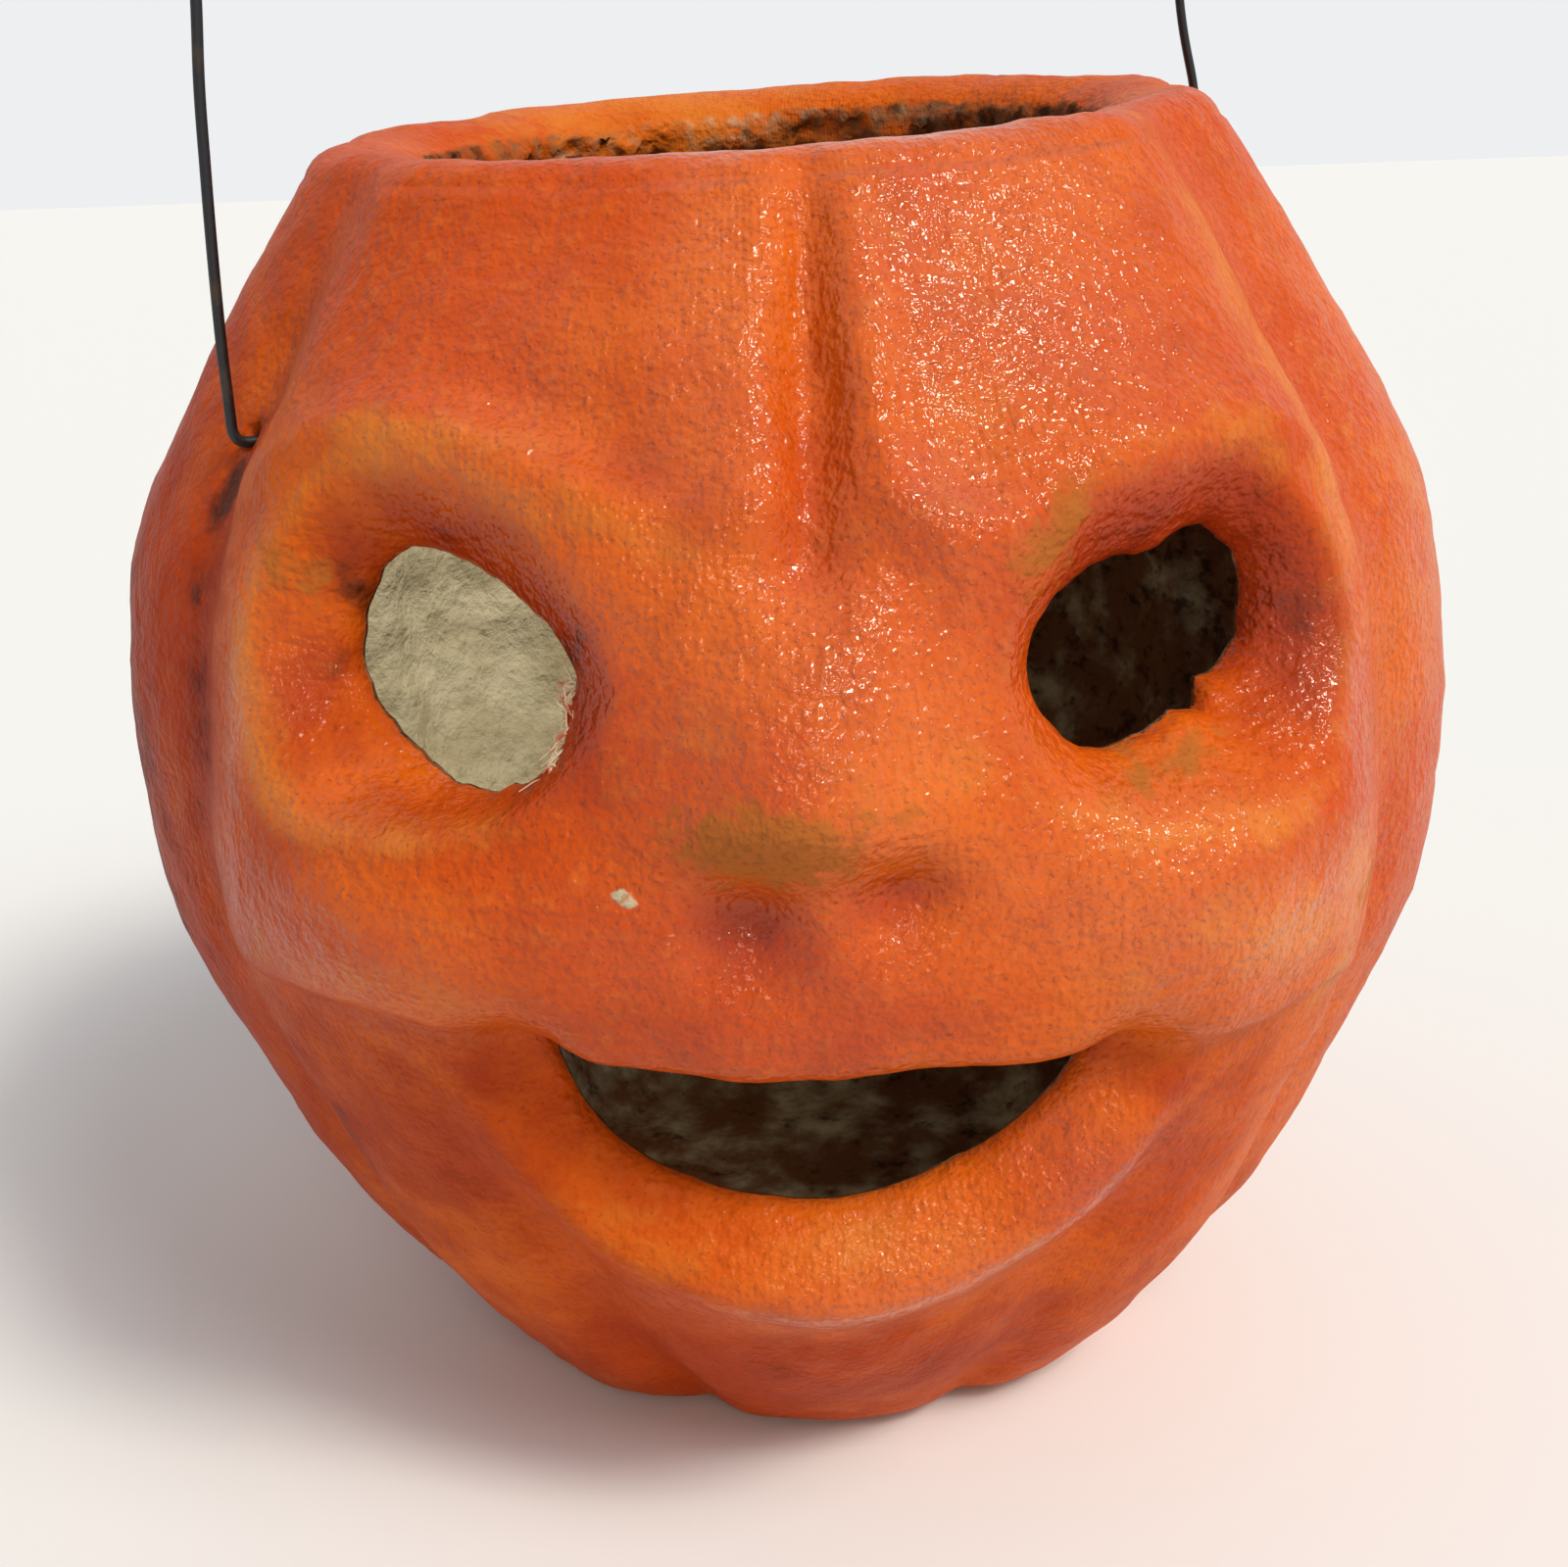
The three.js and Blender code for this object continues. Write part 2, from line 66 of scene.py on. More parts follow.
# Pulp shell: outline and forms of the wall. Wet pulp is pressed into a warm mould over cloth, so the
# wall is one skin of even thickness that swells into lobes and into the face. It is the body that the
# bail hangs in. All sizes are in millimetres, and angles round the body in degrees from the face.
body_height = 124.8
outline_radii = [36.2, 49.6, 57.8, 64.2, 65.1, 62.5, 53.0, 41.6]
wall = 3.4
lean_across = -2.3
rim_tip_across = 1.5
rim_tip_back = 2.5
rib_count = 10
rib_turn = 1.0
groove_depth = 2.6
groove_width = 4.8
groove_fade_top = 20.0
groove_fade_height = 16.0
groove_fade_share = 0.75
groove_front_start = 42.0
groove_front_blend = 26.0
lobe_swell = 0.9
lobe_swell_in_front = 0.3
foot_lobes = 0.65
foot_share = 0.06
face_radius = 60.0
face_half_width = 60.0
face_fade = 18.0
face_limit = 75.0
forehead_rise = 2.0
forehead_edge = 4.5
cheek_rise = 2.1
cheek_edge = 3.6
cheek_top = 84.0
cheek_top_fade = 16.0
socket_rim_width = 6.0
socket_blend = 10.0
socket_overlap = 4.0
socket_rim_share = 0.6
socket_steep_share = 0.35
socket_inner_reach = 0.5
inner_softness = 0.15


def smooth(x):
    x = np.clip(x, 0.0, 1.0)
    return x * x * (3.0 - 2.0 * x)


def between(a, b, c, d, t):
    v0 = (c - a) / 2
    v1 = (d - b) / 2
    return (2 * b - 2 * c + v0 + v1) * t**3 + (3 * c - 3 * b - 2 * v0 - v1) * t**2 + v0 * t + b


def curve_through(points, per_span, extend=True):
    p = np.array(points, float)
    first = 2 * p[0] - p[1] if extend else p[0]
    last = 2 * p[-1] - p[-2] if extend else p[-1]
    q = np.vstack([first, p, last])
    t = np.linspace(0, 1, per_span, endpoint=False)[:, None]
    return np.vstack([*(between(*four, t) for four in zip(q, q[1:], q[2:], q[3:])), p[-1:]])


def around_turn(values, angle):
    values = np.array(values, float)
    place = (angle / math.tau % 1.0) * len(values)
    i = np.floor(place).astype(int)
    return between(*(values[(i + k) % len(values)] for k in (-1, 0, 1, 2)), place - i)


outline_heights = np.linspace(0, body_height, len(outline_radii))
outline = curve_through(list(zip(outline_radii, outline_heights)), 60, extend=False)
outline_slope = np.gradient(outline, axis=0)
outline_slope /= np.linalg.norm(outline_slope, axis=1)[:, None]


def outline_radius(up):
    return np.interp(up, outline[:, 1], outline[:, 0])


def outline_normal(up):
    across = np.interp(up, outline[:, 1], outline_slope[:, 1])
    rise = -np.interp(up, outline[:, 1], outline_slope[:, 0])
    size = np.hypot(across, rise)
    return across / size, rise / size


# The face is laid out on the front wall: arc length across, height up it, and how far it stands out
brow_line = curve_through([
    [-60, 95], [-50, 97], [-42, 100], [-32, 101.5], [-22, 100.3], [-13, 97], [-5, 95.5], [4, 95.5],
    [10, 95], [15, 94], [22, 95], [30, 97], [38, 97.5], [46, 96], [54, 93], [62, 90],
], 8)
cheek_line = curve_through([
    [-62, 56], [-52, 55.5], [-42, 57], [-32, 57.5], [-21, 55.2], [-10, 54.6], [0, 54],
    [10, 54], [22, 52.3], [28, 52.5], [36, 51.5], [46, 51.5], [56, 49], [62, 49],
], 8)
mouth_upper = [
    [-22, 55], [-16.5, 55.2], [-10, 54.8], [-3, 54], [4, 53.8], [11, 54], [18.5, 53.3], [24.8, 51.8],
]
mouth_lower = [
    [-22, 55], [-20, 47.7], [-16.5, 43], [-11, 39.8], [-4, 38], [3.5, 38], [10.5, 39.6], [16.8, 42.8],
    [22, 47.4], [24.8, 51.8],
]
mouth_edge_width = 4.2
mouth_edge_sink = -4.2
# Width, and the crest as [across, up, rise]: furrow, edge of the right forehead lobe, both brows, the fold
# over the left brow, lip, both edges of the chin, and the rolled-in lower edge of the mouth
ridges = [
    (2.8, [
        [1.6, 90, -0.6], [2.2, 97, -2.7], [2.9, 106, -2.9], [3.6, 114, -2.6], [4.6, 121, -1.4],
        [5.4, 127, -0.4],
    ]),
    (2.6, [
        [8.2, 123, 0.2], [7.8, 114, 0.8], [8, 105, 1.2], [9, 98.5, 1.5], [12, 94.8, 1.7],
        [16, 93.8, 1.2],
    ]),
    (4.5, [
        [-50, 96.5, 0.6], [-42, 99.5, 1.4], [-32, 101, 1.8], [-23, 99.8, 2], [-15, 97, 1.8],
        [-8, 94.5, 1],
    ]),
    (4.5, [
        [10, 95, 0.8], [16, 94.2, 1.4], [23, 95.5, 1.6], [31, 97.3, 1.4], [40, 97.5, 1.2],
        [48, 95.2, 0.7],
    ]),
    (3.5, [[-32, 108, -0.3], [-24, 107, -1.2], [-15, 104, -1.4], [-8, 100.5, -0.8]]),
    (5.6, [
        [-25, 52.5, 1], [-24, 45.5, 2.4], [-20.3, 39.4, 3.6], [-13.5, 35.3, 4.3], [-4.5, 33.3, 4.7],
        [4.5, 33.1, 4.7], [13, 34.4, 4.4], [20.8, 38.4, 4], [26, 44, 3.2], [27.8, 51, 1.4],
    ]),
    (5.0, [[-28.5, 50, -0.5], [-28, 40, -1.3], [-25, 28, -1.7], [-23, 14, -1.9], [-20, 0, -2.2]]),
    (5.0, [[30, 48, -0.4], [29.5, 38, -0.8], [26.5, 27, -1], [25, 14, -1.1], [23, 0, -1.6]]),
    (mouth_edge_width, [[across, up, mouth_edge_sink] for across, up in mouth_lower]),
]
ridge_curves = [(width, curve_through(crest, 6)) for width, crest in ridges]
# Middle across and up, half widths across, above and below, and rise: both cheeks, nose, bridge, chin and
# the two nostrils
swellings = [
    (-31, 65, 14, 6.5, 7, 2.3),
    (31.5, 64.5, 13, 7.5, 8, 2.6),
    (0.8, 77, 9, 12, 4.4, 4.5),
    (1.5, 90, 7, 9, 9, 1.2),
    (0, 25, 17, 9, 15, 1.7),
    (-3.2, 68.8, 3.7, 3.2, 5, -3),
    (7, 69.8, 3.5, 2.9, 4, -2.5),
]
# Each eye's middle, and round it, from the right and upwards, the opening's radius, the radius of the
# socket's crest, the crest's rise and the rise at the opening's edge
eyes = [
    {"at": (-27.9, 85.7),
     "opening": [11.1, 8.3, 8.5, 11.2, 11.2, 9.3, 9.5, 11.3],
     "crest": [16.4, 15.6, 16, 18, 18, 15.6, 12.2, 13],
     "rise": [0.2, 1.2, 2.6, 2, 1, 1.8, 1.8, 0.8],
     "edge": [-3.5, -3.8, -4.4, -4.8, -4.6, -4.4, -3.6, -3]},
    {"at": (31.4, 85.2),
     "opening": [12.2, 10.5, 6.6, 9.1, 12.7, 10.8, 7.3, 8.6],
     "crest": [16.9, 16.2, 13.7, 14.4, 16.4, 15.5, 13.7, 15.9],
     "rise": [1.1, 1.8, 2.4, 1.8, 0.2, 1.2, 2, 1.6],
     "edge": [-5.2, -4.8, -4.4, -3.4, -3, -3, -3.6, -4.6]},
]


def ridge_height(crest, width, across, up):
    nearest = np.full(across.shape, np.inf)
    rise = np.zeros(across.shape)
    for a, b in zip(crest, crest[1:]):
        dx, dy = b[:2] - a[:2]
        share = np.clip(((across - a[0]) * dx + (up - a[1]) * dy) / (dx * dx + dy * dy), 0, 1)
        distance = np.hypot(across - a[0] - share * dx, up - a[1] - share * dy)
        closer = distance < nearest
        nearest = np.where(closer, distance, nearest)
        rise = np.where(closer, a[2] + share * (b[2] - a[2]), rise)
    return rise * np.exp(-((nearest / width) ** 2))


def face_height(across, up):
    side = smooth((face_half_width - np.abs(across)) / face_fade)
    brow = np.interp(across, brow_line[:, 0], brow_line[:, 1])
    cheek = np.interp(across, cheek_line[:, 0], cheek_line[:, 1])
    height = forehead_rise * side * smooth((up - brow) / forehead_edge + 1 / 3)
    cheek_share = smooth((up - cheek) / cheek_edge + 1 / 3) * smooth((cheek_top - up) / cheek_top_fade)
    height += cheek_rise * side * cheek_share
    for width, crest in ridge_curves:
        height += ridge_height(crest, width, across, up)
    for x, y, wide, above, below, rise in swellings:
        tall = np.where(up > y, above, below)
        height += rise * np.exp(-(((across - x) / wide) ** 2) - ((up - y) / tall) ** 2)
    for eye in eyes:
        dx = across - eye["at"][0]
        dy = up - eye["at"][1]
        distance = np.hypot(dx, dy)
        opening, crest, rise, edge = (
            around_turn(eye[name], np.arctan2(dy, dx)) for name in ("opening", "crest", "rise", "edge")
        )
        share = (distance - opening) / (crest - opening)
        socket = rise * np.exp(-(((distance - crest) / socket_rim_width) ** 2))
        steep = socket_steep_share * np.sin(np.clip(share, 0, 1) * math.pi / 2)
        slope = steep + (1 - socket_steep_share) * smooth(share)
        beyond = np.maximum(share, -socket_inner_reach) * socket_steep_share * math.pi / 2
        slope = np.where(share < 0, beyond, slope)
        socket = np.where(share < 1, edge + (rise - edge) * slope, socket)
        inside = smooth((crest + socket_overlap - distance) / socket_blend)
        height = height * (1 - inside) + socket * (inside + (1 - inside) * socket_rim_share)
    return height


def rib_height(azimuth, up):
    pitch = 360.0 / rib_count
    place = (azimuth - pitch / 2 - rib_turn) / pitch
    offset = (place - np.round(place)) * pitch
    arc = np.radians(offset) * outline_radius(up)
    behind_face = smooth((np.abs(azimuth) - groove_front_start) / groove_front_blend)
    fade = 1 - groove_fade_share * smooth((up - body_height + groove_fade_top) / groove_fade_height)
    groove = -groove_depth * np.exp(-((arc / groove_width) ** 2)) * behind_face * fade
    in_front = lobe_swell_in_front + (1 - lobe_swell_in_front) * behind_face
    swell = -lobe_swell * np.cos(math.tau * offset / pitch) * in_front
    at_foot = foot_lobes + (1 - foot_lobes) * smooth(up / body_height / foot_share)
    return (groove + swell) * at_foot


def wall_height(azimuth, up):
    face = face_height(np.radians(azimuth) * face_radius, up)
    return rib_height(azimuth, up) + np.where(np.abs(azimuth) < face_limit, face, 0.0)


def rim_tip(azimuth):
    a = np.radians(azimuth)
    return rim_tip_across * np.sin(a) - rim_tip_back * np.cos(a)


def body_point(azimuth, radius, up):
    share = np.clip(up / body_height, 0, 1)
    a = np.radians(azimuth)
    tip = rim_tip(azimuth) * np.minimum(radius / outline_radii[-1], 1)
    across = radius * np.sin(a) + lean_across * share
    return np.stack([across, -radius * np.cos(a), up + tip * share**2], -1)


# Pulp shell: blank. The section of the wall is spun round the body's axis: the flat foot, the outer
# side, the rim, the lip that folds inwards with its torn edge, the inner side and the floor.
foot_corner = 4.0
floor_thickness = 3.6
lip_reach = 8.6
lip_drop = 3.2
lip_thickness = 3.0
rim_round = 2.4
outer_step = 0.85
inner_step = 1.35
rim_follow = 0.9
lip_follow = 0.3
lip_back_follow = 0.5
floor_follow = 0.4
OUTSIDE, RIM, INSIDE, FLAT = 0, 1, 2, 3


def bend(start, corner, end, count):
    t = np.linspace(0, 1, count + 1)[:, None]
    start, corner, end = (np.array(p, float) for p in (start, corner, end))
    return (1 - t) ** 2 * start + 2 * t * (1 - t) * corner + t**2 * end


# Each row: radius, height, share of the forms that it follows, height on the wall, normal, zone
rows = []


def add_row(radius, up, follow, wall_up, normal, zone):
    rows.append((radius, up, follow, wall_up, normal[0], normal[1], zone))


foot_flat = outline_radii[0] - foot_corner
for share in (0.0, 0.25, 0.5, 0.75, 0.92):
    add_row(foot_flat * share, 0, 0, 0, (1, 0), FLAT)
foot_top = outline_radius(foot_corner)
for radius, up in bend((foot_flat, 0), (outline_radii[0], 0), (foot_top, foot_corner), 6):
    add_row(radius, up, 1, up, (1, 0), RIM)
outer_top = body_height - rim_round
for up in np.linspace(foot_corner, outer_top, round((outer_top - foot_corner) / outer_step))[1:-1]:
    add_row(outline_radius(up), up, 1, up, outline_normal(up), OUTSIDE)
rim_start = (outline_radius(outer_top), outer_top)
rim_corner = (outline_radius(body_height - rim_round / 3), body_height)
for radius, up in bend(rim_start, rim_corner, (outline_radii[-1] - rim_round, body_height), 6):
    add_row(radius, up, rim_follow, outer_top, (1, 0), RIM)
lip_edge = outline_radii[-1] - lip_reach
# The lip as (radius, drop below the rim)
lip_path = [
    (outline_radii[-1] - rim_round, 0.0), (lip_edge + 4.6, 0.25), (lip_edge + 2.8, 0.75),
    (lip_edge + 1.2, 1.6), (lip_edge + 0.2, 2.6), (lip_edge - 0.1, 3.6), (lip_edge + 0.1, 4.8),
    (lip_edge + 0.5, lip_drop + lip_thickness),
]
for radius, drop in curve_through(lip_path, 2)[1:]:
    follow = np.interp(radius, (lip_edge, outline_radii[-1]), (lip_follow, rim_follow))
    add_row(radius, body_height - drop, follow, outer_top, (1, 0), RIM)
inner_top = body_height - lip_drop - lip_thickness - wall
inner_ups = np.linspace(inner_top, 2 * floor_thickness, round(inner_top / inner_step))
nx, nz = outline_normal(inner_top)
first_inner = (outline_radius(inner_top) - wall * nx, inner_top - wall * nz)
lip_back = (lip_edge + 0.5, body_height - lip_drop - lip_thickness)
for radius, up in bend(lip_back, (lip_edge + 2.5, lip_back[1] + 0.5), first_inner, 5)[1:-1]:
    add_row(radius, up, lip_back_follow, outer_top, (1, 0), RIM)
for up in inner_ups:
    nx, nz = outline_normal(up)
    inner_place = (outline_radius(up) - wall * nx, up - wall * nz)
    add_row(*inner_place, 1 - inner_softness, up, (nx, nz), INSIDE)
floor_edge = outline_radii[0] - wall - foot_corner / 2
nx, nz = outline_normal(inner_ups[-1])
floor_start = (outline_radius(inner_ups[-1]) - wall * nx, inner_ups[-1] - wall * nz)
floor_corner = (floor_edge + 4, floor_thickness)
for radius, up in bend(floor_start, floor_corner, (floor_edge, floor_thickness), 4)[1:]:
    add_row(radius, up, floor_follow, floor_thickness, (1, 0), FLAT)
for share in (0.8, 0.55, 0.3, 0.0):
    add_row(floor_edge * share, floor_thickness, 0, 0, (1, 0), FLAT)
rows = np.array(rows)

# Columns, by their gap in degrees, stand closer together over the face and at the bail's back hole
# than over the back
face_gap = 0.74
back_gap = 1.5
hole_gap = 0.78
back_hole_at = 124.0
face_gap_edge = 62.0
face_gap_blend = 14.0
hole_gap_width = 5.0
azimuth_step = 0.1
azimuth_samples = np.linspace(-180, 180, 3601)
beyond_face = smooth((np.abs(azimuth_samples) - face_gap_edge) / face_gap_blend)
column_gap = face_gap + (back_gap - face_gap) * beyond_face
column_gap -= (back_gap - hole_gap) * np.exp(-(((azimuth_samples - back_hole_at) / hole_gap_width) ** 2))
columns_before = np.concatenate([[0], np.cumsum((1 / column_gap)[:-1] * azimuth_step)])
column_count = int(round(columns_before[-1] / rib_count)) * rib_count
column_azimuths = np.interp(
    np.arange(column_count) * columns_before[-1] / column_count, columns_before, azimuth_samples
)

blank = bmesh.new()
row_of = blank.verts.layers.int.new("row")
azimuth_of = blank.verts.layers.float.new("azimuth")
up_of = blank.verts.layers.float.new("up")
depth_of = blank.verts.layers.float.new("depth")
zone_of = blank.verts.layers.int.new("zone")
previous = None
for i, row in enumerate(rows):
    corner = blank.verts.new((row[0], 0, row[1]))
    corner[row_of] = i
    corner[zone_of] = int(row[6])
    corner[up_of] = row[3]
    corner[depth_of] = 1.0 if row[6] == INSIDE else 0.0
    if previous:
        blank.edges.new((previous, corner))
    previous = corner
bmesh.ops.spin(
    blank, geom=blank.verts[:] + blank.edges[:], cent=(0, 0, 0), axis=(0, 0, 1), dvec=(0, 0, 0),
    angle=math.tau / rib_count, steps=column_count // rib_count, use_merge=False, use_duplicate=False,
)
one_lobe = blank.verts[:] + blank.edges[:] + blank.faces[:]
for lobe in range(1, rib_count):
    copied = bmesh.ops.duplicate(blank, geom=one_lobe)["geom"]
    bmesh.ops.rotate(
        blank, verts=[g for g in copied if isinstance(g, bmesh.types.BMVert)], cent=(0, 0, 0),
        matrix=Matrix.Rotation(math.tau * lobe / rib_count, 3, "Z"),
    )
bmesh.ops.remove_doubles(blank, verts=blank.verts, dist=1e-3)
bmesh.ops.recalc_face_normals(blank, faces=blank.faces)
for v in blank.verts:
    even = math.degrees(math.atan2(v.co.x, -v.co.y))
    column = int(round((even + 180) / 360 * column_count)) % column_count
    v[azimuth_of] = column_azimuths[column]


def place_wall(verts):
    azimuth = np.array([v[azimuth_of] for v in verts])
    up = np.array([v[up_of] for v in verts])
    depth = np.array([v[depth_of] for v in verts])
    zone = np.array([v[zone_of] for v in verts])
    row = rows[[v[row_of] for v in verts]]
    nx, nz = outline_normal(up)
    on_wall = (zone == OUTSIDE) | (zone == INSIDE)
    radius = np.where(on_wall, outline_radius(up) - wall * depth * nx, row[:, 0])
    height = np.where(on_wall, up - wall * depth * nz, row[:, 1])
    nx = np.where(on_wall, nx, row[:, 4])
    nz = np.where(on_wall, nz, row[:, 5])
    follow = np.where(on_wall, 1 - inner_softness * depth, row[:, 2])
    form = follow * wall_height(azimuth, np.where(on_wall, up, row[:, 3]))
    for v, place in zip(verts, body_point(azimuth, radius + form * nx, height + form * nz)):
        v.co = place


# Pulp shell: eyes and mouth. They are cut through the damp wall with a die, which leaves a soft,
# slightly torn edge. The mesh is parted along each outline on both sides of the wall, and the two
# edges are joined. Places are across and up on the unrolled wall.
search_reach = 9.0
search_halvings = 24


def unrolled(verts):
    return np.array([[math.radians(v[azimuth_of]) * face_radius, v[up_of]] for v in verts])


def wall_up_at(azimuth, height, depth):
    low = height - search_reach
    high = height + search_reach
    for _ in range(search_halvings):
        up = (low + high) / 2
        nx, nz = outline_normal(up)
        form = (1 - inner_softness * depth) * wall_height(azimuth, up)
        reached = up - wall * depth * nz + form * nz
        low = np.where(reached < height, up, low)
        high = np.where(reached < height, high, up)
    return (low + high) / 2


def edge_normals(loop):
    along = np.roll(loop, -1, axis=0) - np.roll(loop, 1, axis=0)
    along /= np.linalg.norm(along, axis=1)[:, None]
    return np.stack([along[:, 1], -along[:, 0]], 1)


def is_inside(loop, places):
    x, y = places[:, :1], places[:, 1:]
    ax, ay = loop[:, 0], loop[:, 1]
    bx, by = np.roll(ax, -1), np.roll(ay, -1)
    crosses = (ay > y) != (by > y)
    at = ax + (y - ay) / np.where(by == ay, 1e-9, by - ay) * (bx - ax)
    return (crosses & (x < at)).sum(1) % 2 == 1


def along_loop(loop, places):
    a = loop
    b = np.roll(loop, -1, axis=0)
    sizes = np.linalg.norm(b - a, axis=1)
    starts = np.concatenate([[0], np.cumsum(sizes)[:-1]])
    d = (b - a) / sizes[:, None]
    t = np.clip(((places[:, None] - a) * d).sum(2), 0, sizes)
    distance = np.linalg.norm(places[:, None] - a - t[..., None] * d, axis=2)
    best = distance.argmin(1)
    return starts[best] + t[np.arange(len(places)), best], sizes.sum()


def loop_point(loop, run):
    closed = np.vstack([loop, loop[:1]])
    starts = np.concatenate([[0], np.cumsum(np.linalg.norm(np.diff(closed, axis=0), axis=1))])
    run = run % starts[-1]
    return np.stack([np.interp(run, starts, closed[:, 0]), np.interp(run, starts, closed[:, 1])], 1)


# Takes out the faces inside the outline on both sides of the wall, moves the ragged edge that is left
# onto the outline at an even pace, and evens the mesh beside it
cut_margin = 2
even_ring_rounds = 30
even_mesh_rings = 5
even_mesh_rounds = 25
even_mesh_share = 0.6


def cut_opening(loop, edge_swell):
    rim_edges = []
    for zone, depth in ((OUTSIDE, 0.0), (INSIDE, 1.0)):
        azimuth = np.degrees(loop[:, 0] / face_radius)
        side = np.stack([loop[:, 0], wall_up_at(azimuth, loop[:, 1], depth)], 1)
        side = side + edge_normals(side) * edge_swell
        low, high = side.min(0) - cut_margin, side.max(0) + cut_margin
        first, last = math.degrees(low[0] / face_radius), math.degrees(high[0] / face_radius)
        within = {
            v for v in blank.verts
            if v[zone_of] == zone and first < v[azimuth_of] < last and low[1] < v[up_of] < high[1]
        }
        touched = {f for v in within for f in v.link_faces}
        faces = sorted((f for f in touched if all(v in within for v in f.verts)), key=lambda f: f.index)
        middles = np.array([unrolled(f.verts).mean(0) for f in faces])
        gone = [f for f, hit in zip(faces, is_inside(side, middles)) if hit]
        around = {v for f in gone for v in f.verts}
        bmesh.ops.delete(blank, geom=gone, context="FACES")
        around = [v for v in around if v.is_valid and v.link_edges]
        edges = {e for v in around for e in v.link_edges if len(e.link_faces) == 1}
        rim_edges += list(edges)
        start = next(iter(edges))
        ring = [start.verts[0], start.verts[1]]
        used = {start}
        while True:
            onward = [e for e in ring[-1].link_edges if e in edges and e not in used]
            if not onward:
                break
            used.add(onward[0])
            ring.append(onward[0].other_vert(ring[-1]))
            if ring[-1] is ring[0]:
                ring.pop()
                break
        run, total = along_loop(side, unrolled(ring))
        steps = (np.diff(run, append=run[0]) + total / 2) % total - total / 2
        unwrapped = run[0] + np.concatenate([[0], np.cumsum(steps[:-1])])
        way = 1 if steps.sum() > 0 else -1
        for _ in range(even_ring_rounds):
            before = np.roll(unwrapped, 1)
            before[0] -= way * total
            after = np.roll(unwrapped, -1)
            after[-1] += way * total
            unwrapped = (unwrapped + (before + after) / 2) / 2
        for v, (across, up) in zip(ring, loop_point(side, unwrapped)):
            v[azimuth_of] = math.degrees(across / face_radius)
            v[up_of] = up
        fixed = set(ring)
        near = set(ring)
        for _ in range(even_mesh_rings):
            near |= {e.other_vert(v) for v in near for e in v.link_edges}
        free = [v for v in near if v not in fixed and v[zone_of] == zone]
        for _ in range(even_mesh_rounds):
            moved = []
            for v in free:
                others = [e.other_vert(v) for e in v.link_edges]
                moved.append((
                    sum(o[azimuth_of] for o in others) / len(others),
                    sum(o[up_of] for o in others) / len(others),
                ))
            for v, (a, u) in zip(free, moved):
                v[azimuth_of] += even_mesh_share * (a - v[azimuth_of])
                v[up_of] += even_mesh_share * (u - v[up_of])
    return rim_edges


# Notches and tabs left where the edge tore: angle, half width in degrees, and how far the edge moved out
tears = [
    [(3, 8, 0.5), (-12, 7, -0.7), (-31, 8, 0.4), (24, 6, 0.3), (-62, 5, -0.3)],
    [(-40, 8, -1.1), (-58, 5, 0.4), (-76, 5, -0.35), (-12, 5, 0.3), (130, 7, -0.2)],
]


def eye_outline(eye, torn, count=160):
    angle = np.arange(count) * math.tau / count
    radius = around_turn(eye["opening"], angle)
    for at, wide, out in torn:
        away = (np.degrees(angle) - at + 180) % 360 - 180
        radius += out * np.exp(-((away / wide) ** 2))
    # The fine waviness of a hand-cut edge
    radius += 0.06 * np.sin(17 * angle + eye["at"][0]) + 0.05 * np.sin(31 * angle)
    middle_across, middle_up = eye["at"]
    return np.stack([middle_across + radius * np.cos(angle), middle_up + radius * np.sin(angle)], 1)


# The bail's two holes are punched from outside with an awl, level with each other
bail_height = 99.3
bail_turn = -56.0
wire_radius = 0.5
bail_hole_radius = 1.25
wire_seat = 0.3
hole_rise = bail_hole_radius - wire_radius - wire_seat


def punched_hole(azimuth, count=40):
    angle = np.arange(count) * math.tau / count
    stretch = face_radius / outline_radius(bail_height)
    middle_up = bail_height + hole_rise - rim_tip(azimuth) * (bail_height / body_height) ** 2
    across = math.radians(azimuth) * face_radius + bail_hole_radius * stretch * np.cos(angle)
    return np.stack([across, middle_up + bail_hole_radius * np.sin(angle)], 1)


mouth_outline = np.vstack([curve_through(mouth_lower, 8), curve_through(mouth_upper, 8)[::-1][1:-1]])
# Outline, how far the cut edge swells into the opening, and the rows of faces across the cut less one
openings = [
    (eye_outline(eyes[0], tears[0]), 0.55, 4), (eye_outline(eyes[1], tears[1]), 0.55, 4),
    (mouth_outline, 0.55, 4), (punched_hole(bail_turn), 0.15, 3), (punched_hole(bail_turn + 180), 0.15, 3),
]
opening_edges = [cut_opening(loop, edge_swell) for loop, edge_swell, _ in openings]
place_wall(blank.verts[:])
for (loop, edge_swell, cuts), edges in zip(openings, opening_edges):
    joined = bmesh.ops.bridge_loops(blank, edges=edges)
    across_edges = [
        e for e in {e for f in joined["faces"] for e in f.edges}
        if e.verts[0][zone_of] != e.verts[1][zone_of]
    ]
    split = bmesh.ops.subdivide_edges(blank, edges=across_edges, cuts=cuts, use_grid_fill=True)
    fresh = [v for v in split["geom_inner"] if isinstance(v, bmesh.types.BMVert)]
    places = unrolled(fresh)
    depth = np.array([v[depth_of] for v in fresh])
    run, _ = along_loop(loop, places)
    swell = edge_swell * (1 - np.abs(2 * depth - 1) ** 4)
    closest = np.linalg.norm(loop[None] - loop_point(loop, run)[:, None], axis=2).argmin(1)
    for v, place, n, s in zip(fresh, places, edge_normals(loop)[closest], swell):
        v[zone_of] = OUTSIDE
        v[azimuth_of] = math.degrees((place[0] - n[0] * s) / face_radius)
        v[up_of] = place[1] - n[1] * s
    place_wall(fresh)
